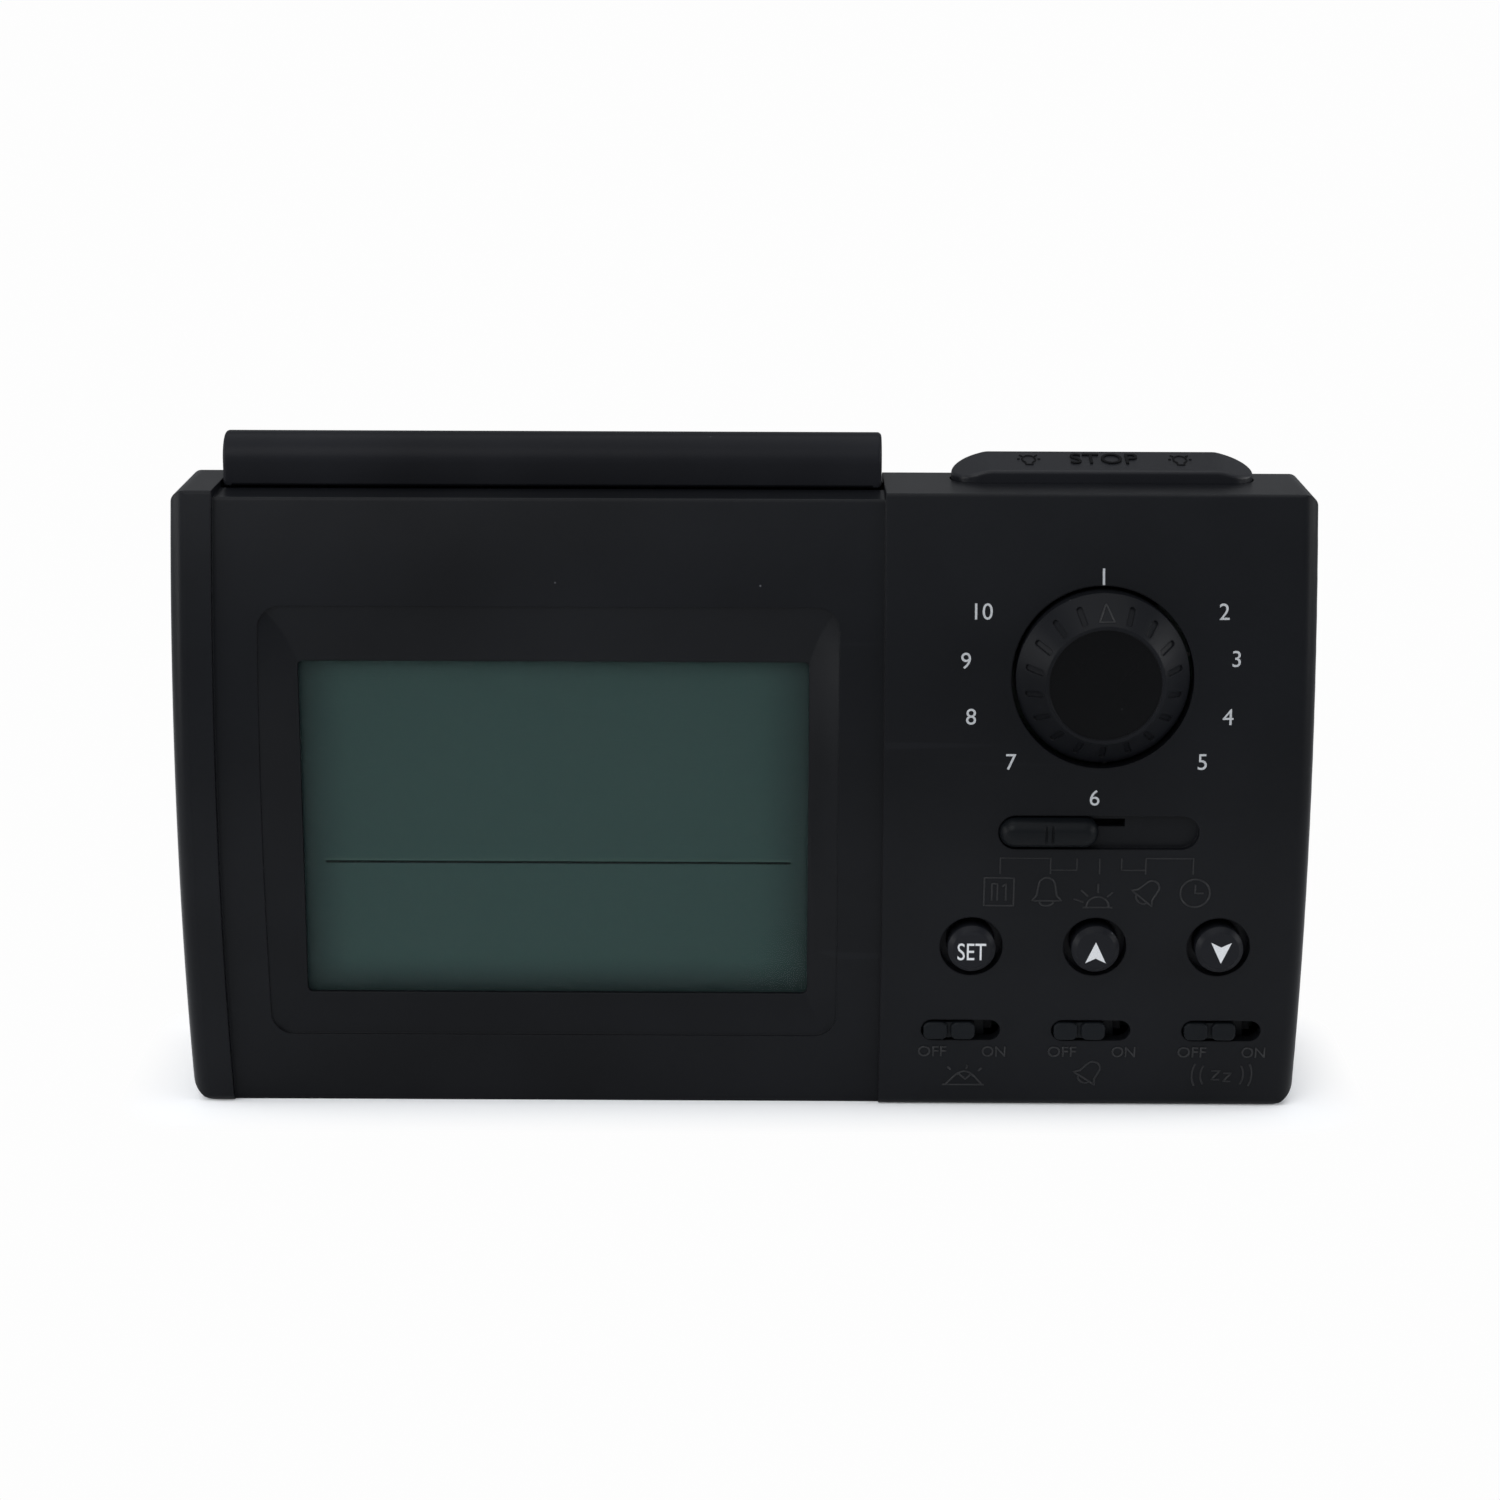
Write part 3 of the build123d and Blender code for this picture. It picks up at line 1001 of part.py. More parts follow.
def battery_wires():
    """Wires from the main board to the two left-hand battery contacts."""
    start_x, bend_x = [SOCKET_RIGHT + run for run in BATTERY_WIRE_RUNS]
    end_y = BAY_Y - BAY_WALL - TAB_LONG / 2
    wires = []
    for dz, (end_x, end_z) in zip((-WIRE_PITCH / 2, WIRE_PITCH / 2), contact_tabs()):
        start_z = SOCKET_ZS[0] + dz
        wires.append(wire((SOCKET_RIGHT, WIRE_Y, start_z), (start_x, WIRE_Y, start_z),
                          (bend_x, end_y, end_z), (end_x, end_y, end_z)))
    return wires


def ribbon_cable():
    """Flat cable between the two boards."""
    left, right = RIBBON_XS
    step_left, step_right = RIBBON_STEP_XS
    y0 = BACK_OF_MAIN + RIBBON_RISE
    y1 = BACK_OF_CONTROL + RIBBON_RISE
    strip = outline((left, y0), (step_left, y0), (step_right, y1), (right, y1),
                    (right, y1 + RIBBON_THICK), (step_right, y1 + RIBBON_THICK),
                    (step_left, y0 + RIBBON_THICK), (left, y0 + RIBBON_THICK))
    return Pos(0, 0, RIBBON_Z) * extrude(strip, RIBBON_WIDE)


def ribbon_sockets():
    """Low sockets that the flat cable plugs into."""
    deep, high, edge = RIBBON_SOCKET
    z0, z1 = RIBBON_Z - edge, RIBBON_Z + RIBBON_WIDE + edge
    left, right = RIBBON_XS
    return [block(left - deep, left, BACK_OF_MAIN, BACK_OF_MAIN + high, z0, z1),
            block(right, right + deep, BACK_OF_CONTROL, BACK_OF_CONTROL + high, z0, z1)]


# --- dial and its switch ------------------------------------------------------------------
def selector_dial():
    """Conical knob with a dished top, a fine rim and ticks round its slope."""
    rim_r = DIAL_TOP_R - DIAL_RIM
    inner_r = DIAL_BASE_R - DIAL_WALL
    boss_r = SHAFT_R + BOSS_WALL
    boss_y = ROTARY_Y - BUSHING_HIGH - GAP
    knob = spun_y([(0, DIAL_TOP_Y + DIAL_DISH), (rim_r, DIAL_TOP_Y + DIAL_DISH),
                   (rim_r, DIAL_TOP_Y), (DIAL_TOP_R, DIAL_TOP_Y), (DIAL_BASE_R, DIAL_SKIRT_Y),
                   (DIAL_BASE_R, DIAL_BASE_Y), (inner_r, DIAL_BASE_Y), (inner_r, DIAL_SKIRT_Y),
                   (DIAL_TOP_R - DIAL_WALL, SHAFT_FRONT_Y), (boss_r, SHAFT_FRONT_Y),
                   (boss_r, boss_y), (SHAFT_R, boss_y), (SHAFT_R, SHAFT_FRONT_Y),
                   (0, SHAFT_FRONT_Y)], DIAL_X, DIAL_Z)
    run, fall = DIAL_BASE_R - DIAL_TOP_R, DIAL_SKIRT_Y - DIAL_TOP_Y
    slope = atan2(fall, run)
    length = (TICK_SPAN[1] - TICK_SPAN[0]) * run / cos(slope)
    middle = (TICK_SPAN[0] + TICK_SPAN[1]) / 2
    plane = Plane(origin=(0, DIAL_TOP_Y + fall * middle, DIAL_TOP_R + run * middle),
                  x_dir=(0, sin(slope), cos(slope)), z_dir=(0, -cos(slope), sin(slope)))
    groove = extrude(plane * SlotOverall(length, TICK_WIDTH), TICK_DEPTH, both=True)
    for step in range(1, TICK_COUNT):
        turn = 360 / TICK_COUNT * step
        knob -= Pos(DIAL_X, 0, DIAL_Z) * Rot(0, turn, 0) * groove
    return knob


def dial_shaft():
    """Shaft of the rotary switch, which turns with the dial."""
    return rod_y(DIAL_X, DIAL_Z, SHAFT_R, SHAFT_FRONT_Y, SHAFT_REAR_Y)


def rotary_switch():
    """Housing and bushing of the ten-way switch."""
    half = ROTARY_SIZE / 2
    body = block(DIAL_X - half, DIAL_X + half, ROTARY_Y, CONTROL_Y, DIAL_Z - half, DIAL_Z + half)
    body += rod_y(DIAL_X, DIAL_Z, BUSHING_R, ROTARY_Y - BUSHING_HIGH, ROTARY_Y)
    body -= rod_y(DIAL_X, DIAL_Z, SHAFT_R + RUN, -FAR, SHAFT_REAR_Y + GAP)
    return body


# --- sliders ------------------------------------------------------------------------------
def mode_slider():
    """Capsule-shaped slider with a ridged middle, its lever and its catch."""
    cap = through_y(Pos(MODE_REST_X, MODE_Z) * SlotOverall(MODE_LENGTH, MODE_HIGH), -MODE_PROUD,
                    MODE_FLOOR - MODE_LEVER_GAP)
    front = cap.faces().sort_by(Axis.Y)[0]
    cap = fillet(front.edges(), MODE_ROUND)
    for side in (-1, 1):
        x = MODE_REST_X + side * RIDGE_PITCH / 2
        cap -= block(x - RIDGE_CUT / 2, x + RIDGE_CUT / 2, -FAR, -MODE_PROUD + RIDGE_CUT,
                     MODE_Z - MODE_HIGH, MODE_Z + MODE_HIGH)
    wide, high = MODE_LEVER
    lever_x = MODE_REST_X - MODE_LEVER_LEFT
    lever = block(lever_x - wide / 2, lever_x + wide / 2, 0,
                  MODE_HOUSING_Y + MODE_LEVER_IN, MODE_LEVER_Z - high / 2,
                  MODE_LEVER_Z + high / 2)
    catch_wide, catch_high, catch_thick = MODE_CATCH
    catch_y = face_y(MODE_LEVER_Z + catch_high / 2, WALL) + GAP
    catch = block(lever_x - catch_wide / 2, lever_x + catch_wide / 2, catch_y,
                  catch_y + catch_thick, MODE_LEVER_Z - catch_high / 2,
                  MODE_LEVER_Z + catch_high / 2)
    return cap + lever + catch


def mode_switch():
    """Housing of the five-way slide switch."""
    long, high, _ = MODE_HOUSING
    body = block(MODE_SWITCH_X - long / 2, MODE_SWITCH_X + long / 2, MODE_HOUSING_Y, CONTROL_Y,
                 MODE_LEVER_Z - high / 2, MODE_LEVER_Z + high / 2)
    return body - mode_lever_room(-FAR, MODE_HOUSING_Y + MODE_LEVER_IN + GAP)


def switch_knob(x):
    """Small two-lobed slider with its cover plate and lever; it rests at the left."""
    rest = x - SWITCH_TRAVEL / 2
    front_y = face_y(SWITCH_Z) - SWITCH_PROUD
    lobe_long = (SWITCH_LENGTH - SWITCH_WAIST) / 2
    cap = through_y(Pos(rest, SWITCH_Z) * Rectangle(SWITCH_LENGTH / 2, SWITCH_HIGH - SWITCH_ROUND),
                    front_y + SWITCH_WAIST_DEEP, SWITCH_PLATE_Y)
    for side in (-1, 1):
        lobe = through_y(Pos(rest + side * (lobe_long + SWITCH_WAIST) / 2, SWITCH_Z)
                         * RectangleRounded(lobe_long, SWITCH_HIGH, SWITCH_LOBE_R),
                         front_y, SWITCH_PLATE_Y)
        cap += fillet(lobe.faces().sort_by(Axis.Y)[0].edges(), SWITCH_ROUND)
    long, high, thick = SWITCH_PLATE
    plate = block(rest - long / 2, rest + long / 2, SWITCH_PLATE_Y, SWITCH_PLATE_Y + thick,
                  SWITCH_Z - high / 2, SWITCH_Z + high / 2)
    wide, tall = SWITCH_LEVER
    lever = block(rest - wide / 2, rest + wide / 2, SWITCH_PLATE_Y,
                  SWITCH_HOUSING_Y + SWITCH_LEVER_IN, SWITCH_Z - tall / 2, SWITCH_Z + tall / 2)
    return cap + plate + lever


def slide_switches():
    """Housings of the three small slide switches."""
    long, high, _ = SWITCH_HOUSING
    wide, tall = SWITCH_LEVER
    half_long = (SWITCH_TRAVEL + wide) / 2 + GAP
    half_high = tall / 2 + GAP
    middle_z = SWITCH_Z + SWITCH_RAISE
    bodies = []
    for x in SWITCH_XS:
        body = block(x - long / 2, x + long / 2, SWITCH_HOUSING_Y, CONTROL_Y,
                     middle_z - high / 2, middle_z + high / 2)
        body -= block(x - half_long, x + half_long, -FAR, SWITCH_HOUSING_Y + SWITCH_LEVER_IN + GAP,
                      SWITCH_Z - half_high, SWITCH_Z + half_high)
        bodies.append(body)
    return bodies


# --- buttons ------------------------------------------------------------------------------
def push_button(x):
    """Round cap with a bevelled rim, a flange behind the wall and a stem."""
    front_y = face_y(BUTTON_Z) - BUTTON_PROUD
    cap = rod_y(x, BUTTON_Z, BUTTON_R, front_y, BUTTON_FLANGE_Y)
    cap = chamfer(cap.faces().sort_by(Axis.Y)[0].edges(), BUTTON_BEVEL)
    flange = rod_y(x, BUTTON_Z, BUTTON_FLANGE_R, BUTTON_FLANGE_Y, BUTTON_FLANGE_Y + BUTTON_FLANGE)
    stem = rod_y(x, BUTTON_Z, BUTTON_STEM_R, BUTTON_FLANGE_Y, BUTTON_STEM_Y)
    return cap + flange + stem


def tact_switches():
    """Click switches behind the three buttons."""
    half = TACT_SIZE / 2
    return [block(x - half, x + half, TACT_Y, CONTROL_Y, BUTTON_Z - half, BUTTON_Z + half)
            + rod_y(x, BUTTON_Z, TACT_PLUNGER_R, TACT_Y - TACT_PLUNGER, TACT_Y)
            for x in BUTTON_XS]


def top_switch():
    """Click switch under the long button."""
    half = TACT_SIZE / 2
    z = TOP_BOARD_Z + TOP_BOARD_THICK
    return block(BAR_X - half, BAR_X + half, BAR_Y - half, BAR_Y + half, z, z + TACT_HIGH) + rod_z(
        BAR_X, BAR_Y, TACT_PLUNGER_R, z + TACT_HIGH, z + TACT_HIGH + TACT_PLUNGER)


def top_button():
    """Long low button: top that leans forward, ends that slope down, flange and stem inside."""
    flange_top = HEIGHT - WALL - GAP
    crest, shoulder = HEIGHT + BAR_RISE, HEIGHT + BAR_END_RISE
    cap = extrude(Plane.XY.offset(flange_top) * bar_plan(0, 0), crest + BAR_DEEP - flange_top)
    left, right, low = BAR_LEFT - BAR_END_SLOPE, BAR_RIGHT + BAR_END_SLOPE, 2 * shoulder - crest
    side = outline((left, 0), (left, low), (BAR_LEFT + BAR_END_SLOPE, crest),
                   (BAR_RIGHT - BAR_END_SLOPE, crest), (right, low), (right, 0))
    side = fillet(side.vertices().filter_by(lambda v: v.Y > (crest + shoulder) / 2), BAR_SLOPE_R)
    leaning = Pos(0, BAR_Y, crest) * Rot(BAR_LEAN, 0, 0) * Pos(0, -BAR_Y, -crest)
    cap &= leaning * through_y(side, -FAR, FAR)
    walls = cap.faces().filter_by(lambda f: abs(f.normal_at().Z) < UPRIGHT)
    rim = walls.edges().filter_by(lambda e: e.center().Z > HEIGHT
                                  and abs(e.tangent_at(0.5).Z) < 1 - UPRIGHT)
    cap = fillet(rim, BAR_EDGE_R)
    flange = extrude(Plane.XY.offset(flange_top - BAR_FLANGE)
                     * bar_plan(BAR_FLANGE_SIDE, BAR_FLANGE), BAR_FLANGE)
    stem_end = TOP_BOARD_Z + TOP_BOARD_THICK + TACT_HIGH + TACT_PLUNGER + TACT_GAP + BAR_TRAVEL
    stem = rod_z(BAR_X, BAR_Y, BAR_STEM_R, stem_end, flange_top)
    return cap + flange + stem


# --- speaker ------------------------------------------------------------------------------
def speaker_frame():
    """Steel basket, open to the back, with its terminal block."""
    ring_y = SPEAKER_Y - SPEAKER_RING
    wall_r = SPEAKER_R - SPEAKER_RIM
    basket = spun_y([(SPEAKER_R, SPEAKER_Y), (SPEAKER_R, ring_y), (wall_r, ring_y),
                     (MAGNET_R + 2.5 * BASKET_THICK, BASKET_Y), (0, BASKET_Y),
                     (0, BASKET_Y + BASKET_THICK), (MAGNET_R + BASKET_THICK, BASKET_Y + BASKET_THICK),
                     (wall_r - BASKET_THICK, ring_y + BASKET_THICK), (wall_r, SPEAKER_Y)],
                    SPEAKER_X, SPEAKER_Z)
    terminals = block(TERMINAL_X, SPEAKER_X - MAGNET_R - SPEAKER_GASKET,
                      TERMINAL_Y - TERMINAL_THICK / 2, TERMINAL_Y + TERMINAL_THICK / 2,
                      SPEAKER_Z - TERMINAL_WIDE / 2, SPEAKER_Z + TERMINAL_WIDE / 2)
    return basket + terminals


def speaker_magnet():
    """Magnet on the basket's front."""
    return rod_y(SPEAKER_X, SPEAKER_Z, MAGNET_R, BASKET_Y - MAGNET_HIGH, BASKET_Y)


def speaker_cone():
    """Paper cone with its dust cap."""
    outer = SPEAKER_R - SPEAKER_RIM - BASKET_THICK - GAP
    inner = outer - CONE_SURROUND
    edge_y, fold_y = SPEAKER_Y - SPEAKER_RING / 3, SPEAKER_Y - SPEAKER_RING / 6
    cap_y, tip_y = BASKET_Y + 4 * BASKET_THICK, BASKET_Y + 6 * BASKET_THICK
    back = [(outer, edge_y), (inner, fold_y), (CONE_CAP_R, cap_y), (0, tip_y)]
    front = [(r, y - CONE_THICK) for r, y in reversed(back)]
    return spun_y(back + front, SPEAKER_X, SPEAKER_Z)


# --- batteries ----------------------------------------------------------------------------
def battery_cells():
    """Two cells lying opposite ways round."""
    left, right = BAY_LEFT + CONTACT_THICK, BAY_RIGHT - CONTACT_THICK
    low_z, high_z = CELL_ZS
    low = rod_x(CELL_Y, low_z, CELL_R, right - CELL_LENGTH, right - CELL_NUB)
    low += rod_x(CELL_Y, low_z, CELL_NUB_R, right - CELL_NUB, right)
    high = rod_x(CELL_Y, high_z, CELL_R, left + CELL_NUB, left + CELL_LENGTH)
    high += rod_x(CELL_Y, high_z, CELL_NUB_R, left, left + CELL_NUB)
    return [low, high]


def battery_contacts():
    """Flat contacts: two at the left with tabs through the floor, one bridge at the right."""
    half = CONTACT_WIDE / 2
    pieces = []
    for x, z in contact_tabs():
        plate = block(x, x + CONTACT_THICK, BAY_Y, CELL_Y + half, z - half, z + half)
        plate += block(x, x + CONTACT_THICK, BAY_Y - BAY_WALL - TAB_LONG, BAY_Y,
                       z - TAB_WIDE / 2, z + TAB_WIDE / 2)
        pieces.append(plate)
    pieces.append(block(BAY_RIGHT - CONTACT_THICK, BAY_RIGHT, BAY_Y, CELL_Y + half,
                        CELL_ZS[0] - half, CELL_ZS[1] + half))
    return pieces


def battery_springs():
    """Bent leaf springs that press on the flat ends of the cells."""
    room = BAY_RIGHT - BAY_LEFT - 2 * CONTACT_THICK - CELL_LENGTH
    half = CONTACT_WIDE / 2
    leaf = outline((0, -half), (SPRING_THICK, -half), (room, -SPRING_THICK), (room, SPRING_THICK),
                   (SPRING_THICK, half), (0, half), (0, half - SPRING_THICK),
                   (room - SPRING_THICK, 0), (0, SPRING_THICK - half))
    strip = extrude(leaf, TAB_WIDE / 2, both=True)
    low = Pos(BAY_LEFT + CONTACT_THICK, CELL_Y, CELL_ZS[0]) * strip
    high = Pos(BAY_RIGHT - CONTACT_THICK, CELL_Y, CELL_ZS[1]) * Rot(0, 0, 180) * strip
    return [low, high]


def battery_door():
    """Snap-in door: two tabs hook behind the lower edge, a tongue latches the upper one."""
    left, right = BAY_LEFT - DOOR_LEDGE + DOOR_GAP, BAY_RIGHT + DOOR_LEDGE - DOOR_GAP
    bottom, top = BAY_BOTTOM - DOOR_LEDGE + DOOR_GAP, BAY_TOP + DOOR_LEDGE - DOOR_GAP
    door = block(left, right, DOOR_Y, DEPTH, bottom, top)
    tab_back = DEPTH - WALL - DOOR_TAB_GAP
    tab_front = tab_back - DOOR_TAB_THICK
    for x in DOOR_TABS:
        x0, x1 = x - DOOR_TAB_WIDE / 2, x + DOOR_TAB_WIDE / 2
        door += block(x0, x1, tab_front, DOOR_Y, bottom, BAY_BOTTOM - GAP)
        door += block(x0, x1, tab_front, tab_back, bottom - DOOR_GAP - DOOR_TAB_DROP,
                      BAY_BOTTOM - GAP)
    middle = (left + right) / 2
    for side in (-1, 1):
        x = middle + side * TONGUE_WIDE / 2
        door -= block(x - TONGUE_SLIT / 2, x + TONGUE_SLIT / 2, 0, FAR, top - TONGUE_LONG,
                      top + OVER)
    for row in range(GRIP_COUNT):
        z = bottom + GRIP_START + row * GRIP_PITCH
        door -= block(middle - GRIP_WIDE / 2, middle + GRIP_WIDE / 2, DEPTH - GRIP_DEEP, FAR, z,
                      z + GRIP_HIGH)
    return door


# --- write the nodes ----------------------------------------------------------------------
os.makedirs("parts", exist_ok=True)
hollow_body = outer_body() - channel_void() - cavity()

save("case_front", front_shell(hollow_body))
save("case_back", rear_shell(hollow_body))
save("case_screws", *case_screws())
save("stand_cover", stand_cover())
save("hinge_pin", hinge_pin())
save("lcd_lens", lcd_lens())
save("lcd_panel", lcd_panel())
save("lcd_backlight", lcd_backlight())
save("lcd_holder", lcd_holder())
save("contact_strips", *contact_strips())
save("main_board", main_board())
save("main_board_screws", *[board_screw(x, z, BACK_OF_MAIN) for x, z in MAIN_POSTS])
save("controller_chip", chip(BOARD_LEFT + CONTROLLER_INSET, CONTROLLER_CHIP))
save("sound_chip", chip(BOARD_RIGHT - SOUND_INSET, SOUND_CHIP))
save("quartz_crystal", quartz_crystal())
save("backlight_leds", *backlight_leds())
save("capacitors", *capacitors())
save("wire_sockets", *wire_sockets())
save("control_board", control_board())
save("control_board_screws", *[board_screw(x, z, BACK_OF_CONTROL) for x, z in CONTROL_POSTS])
save("ribbon_cable", ribbon_cable())
save("ribbon_sockets", *ribbon_sockets())
save("selector_dial", selector_dial())
save("dial_shaft", dial_shaft())
save("rotary_switch", rotary_switch())
save("mode_slider", mode_slider())
save("mode_switch", mode_switch())
for knob_name, knob_x in zip(("switch_knob_left", "switch_knob_middle", "switch_knob_right"),
                             SWITCH_XS):
    save(knob_name, switch_knob(knob_x))
save("slide_switches", *slide_switches())
for button_name, button_x in zip(("set_button", "up_button", "down_button"), BUTTON_XS):
    save(button_name, push_button(button_x))
save("tact_switches", *tact_switches())
save("top_button", top_button())
save("top_board", top_board())
save("top_board_screws", *top_board_screws())
save("top_switch", top_switch())
save("speaker_frame", speaker_frame())
save("speaker_magnet", speaker_magnet())
save("speaker_cone", speaker_cone())
save("speaker_wires", *speaker_wires())
save("battery_wires", *battery_wires())
save("battery_cells", *battery_cells())
save("battery_contacts", *battery_contacts())
save("battery_springs", *battery_springs())
save("battery_door", battery_door())
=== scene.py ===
"""Looks of the azan clock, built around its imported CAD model. Metres, same frame as the CAD."""
import math

import bmesh
import bpy
from mathutils import Matrix, Vector
from mathutils.bvhtree import BVHTree


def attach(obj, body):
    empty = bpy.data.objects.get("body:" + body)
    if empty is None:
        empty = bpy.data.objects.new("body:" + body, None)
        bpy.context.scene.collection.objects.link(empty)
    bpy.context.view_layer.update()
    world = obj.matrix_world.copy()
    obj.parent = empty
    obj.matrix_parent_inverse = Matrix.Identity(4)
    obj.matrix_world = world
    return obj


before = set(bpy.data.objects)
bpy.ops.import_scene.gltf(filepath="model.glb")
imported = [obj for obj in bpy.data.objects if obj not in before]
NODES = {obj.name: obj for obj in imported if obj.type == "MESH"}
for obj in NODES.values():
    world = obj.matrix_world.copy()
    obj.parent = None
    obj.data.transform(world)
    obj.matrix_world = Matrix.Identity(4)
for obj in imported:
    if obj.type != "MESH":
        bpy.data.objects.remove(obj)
bpy.context.view_layer.update()
MM = 0.001

# --- places on the clock, in millimetres ---------------------------------------------------
CONTROL_X = 50.05                    # middle line of the controls
DIAL_Z = 64.95
DISC_R = 7.8                         # of the dial's dished top
DISC_EDGE = 0.1                      # its smoother finish and painted shade change over this width
BUTTON_Z = 25.75
BUTTON_PITCH = 17.55
SWITCH_PITCH = 18.7
VIEW = (-62.7, 9.0, 17.0, 66.0)      # left, right, bottom and top of the display's view
TOP_BUTTON_X, TOP_BUTTON_Y = 50.8, 1.197      # middle of the long button on the top


def added(name, data):
    """New object in the scene."""
    made = bpy.data.objects.new(name, data)
    bpy.context.scene.collection.objects.link(made)
    return made


# --- camera --------------------------------------------------------------------------------
CAMERA_AT = (3.531, -463.303, 170.672)                        # in millimetres
CAMERA_YAW, CAMERA_PITCH, CAMERA_ROLL = -0.326, 14.573, 0.160    # in degrees
FOCAL_PIXELS = 3300.0
FRAME_PIXELS = 1500.0
SENSOR = 36.0
CLIP_NEAR, CLIP_FAR = 0.01, 20.0     # in metres


def make_camera():
    """Camera in front of the clock and a little above it."""
    yaw, pitch, roll = (math.radians(a) for a in (CAMERA_YAW, CAMERA_PITCH, CAMERA_ROLL))
    forward = Vector((math.sin(yaw) * math.cos(pitch), math.cos(yaw) * math.cos(pitch),
                      -math.sin(pitch)))
    right = forward.cross(Vector((0, 0, 1))).normalized()
    up = right.cross(forward)
    x_axis = right * math.cos(roll) + up * math.sin(roll)
    y_axis = up * math.cos(roll) - right * math.sin(roll)
    data = bpy.data.cameras.new("camera")
    data.sensor_width = SENSOR
    data.lens = FOCAL_PIXELS / FRAME_PIXELS * SENSOR
    data.clip_start, data.clip_end = CLIP_NEAR, CLIP_FAR
    camera = added("camera", data)
    turn = Matrix((x_axis, y_axis, -forward)).transposed().to_4x4()
    camera.matrix_world = Matrix.Translation(Vector(CAMERA_AT) * MM) @ turn
    bpy.context.scene.camera = camera


# --- studio, in metres ---------------------------------------------------------------------
FLOOR_COLOUR = (0.955, 0.96, 0.965)
FLOOR_SHADE = 0.99                   # the paper's darker fibres
FLOOR_ROUGH, FLOOR_LEVEL = 0.9, 0.05
FIBRES = 400.0                       # per metre
BACKDROP_WHITE = 0.985
# far from the clock the floor and backdrop are painted grey: painted shade in place of the lamps'
# light falling off
FAR_FLOOR_PAINTED_SHADE = (0.30, 0.305, 0.31)
FLOOR_PAINTED_SHADE_REACH = (0.12, 0.45)       # painted shade: the floor's colour darkens between these distances from the clock
MIRRORED_SHARE = 0.15                # how much of the white shows in gloss
FOOT_MIDDLE = (0.0, 0.0052, 0.0)     # middle and half size of the clock's lower side
FOOT_HALF = (0.078, 0.0155, 0.0)
SHADOW_REACH = (0.0, 0.013)          # the floor's own shading fades out this far from the clock
WORLD_LOW = (0.40, 0.42, 0.45)       # the sky at the horizon
WORLD_HIGH = (0.62, 0.65, 0.70)      # the sky overhead
WORLD_RISE = 0.5                     # share of the way up at which it has that colour
LAMP_TARGET = (0.0, 0.0, 0.04)
LAMPS = [("lamp_above", (0.0, 0.05, 1.10), 1.2, 5.0),         # name, place, size, power
         ("lamp_front", (-0.35, -0.85, 0.75), 0.7, 5.2),
         ("lamp_left", (-1.0, -0.45, 0.15), 0.45, 3.5),
         ("lamp_right", (1.0, -0.45, 0.25), 0.40, 2.0),
         ("lamp_left_rear", (-1.0, 0.10, 0.35), 0.5, 3.0),
         ("lamp_right_rear", (1.0, 0.10, 0.35), 0.5, 3.0)]
FLOOR_HALF = 3.0
SWEEP_Y, SWEEP_R = 1.2, 0.8          # where the floor starts to rise, and its bend
SWEEP_STEPS = 24


def make_studio():
    """Floor that sweeps up into a backdrop, pale near the clock and painted grey with shade
    further away, soft lamps and a pale world.
    """
    profile = [(-FLOOR_HALF, 0.0)]
    for step in range(SWEEP_STEPS + 1):
        angle = math.pi / 2 * step / SWEEP_STEPS
        profile.append((SWEEP_Y + SWEEP_R * math.sin(angle), SWEEP_R * (1 - math.cos(angle))))
    profile.append((SWEEP_Y + SWEEP_R, FLOOR_HALF))
    mesh = bpy.data.meshes.new("floor")
    points = [(x, y, z) for y, z in profile for x in (-FLOOR_HALF, FLOOR_HALF)]
    faces = [(2 * i, 2 * i + 1, 2 * i + 3, 2 * i + 2) for i in range(len(profile) - 1)]
    mesh.from_pydata(points, [], faces)
    mesh.shade_smooth()
    floor = added("floor", mesh)
    floor.data.materials.append(floor_material())
    for name, place, size, power in LAMPS:
        add_lamp(name, place, size, power)
    make_world()


def make_world():
    """Pale sky that grows lighter upwards."""
    world = bpy.data.worlds.new("studio")
    bpy.context.scene.world = world
    world.use_nodes = True
    tree = world.node_tree
    way = node(tree, "ShaderNodeTexCoord").outputs["Generated"]
    height = node(tree, "ShaderNodeSeparateXYZ", [("Vector", way)]).outputs["Z"]
    sky = mix_colour(tree, ramp(tree, height, 0.0, WORLD_RISE), WORLD_LOW, WORLD_HIGH)
    shown = mix_colour(tree, seen_directly(tree), sky, (BACKDROP_WHITE,) * 3)
    tree.links.new(shown, tree.nodes["Background"].inputs["Color"])


def seen_directly(tree):
    """One for rays from the camera and passing rays, a share for mirrored rays, else nothing."""
    path = node(tree, "ShaderNodeLightPath")
    total = maths(tree, "MULTIPLY", path.outputs["Is Glossy Ray"], MIRRORED_SHARE)
    for kind in ("Is Camera Ray", "Is Transmission Ray"):
        total = maths(tree, "MAXIMUM", total, path.outputs[kind])
    return total


def add_lamp(name, place, size, power):
    """Square soft lamp that faces the clock."""
    data = bpy.data.lights.new(name, "AREA")
    data.size = size
    data.energy = power
    lamp = added(name, data)
    lamp.location = place
    lamp.rotation_mode = "QUATERNION"
    lamp.rotation_quaternion = (Vector(LAMP_TARGET) - Vector(place)).to_track_quat("-Z", "Y")


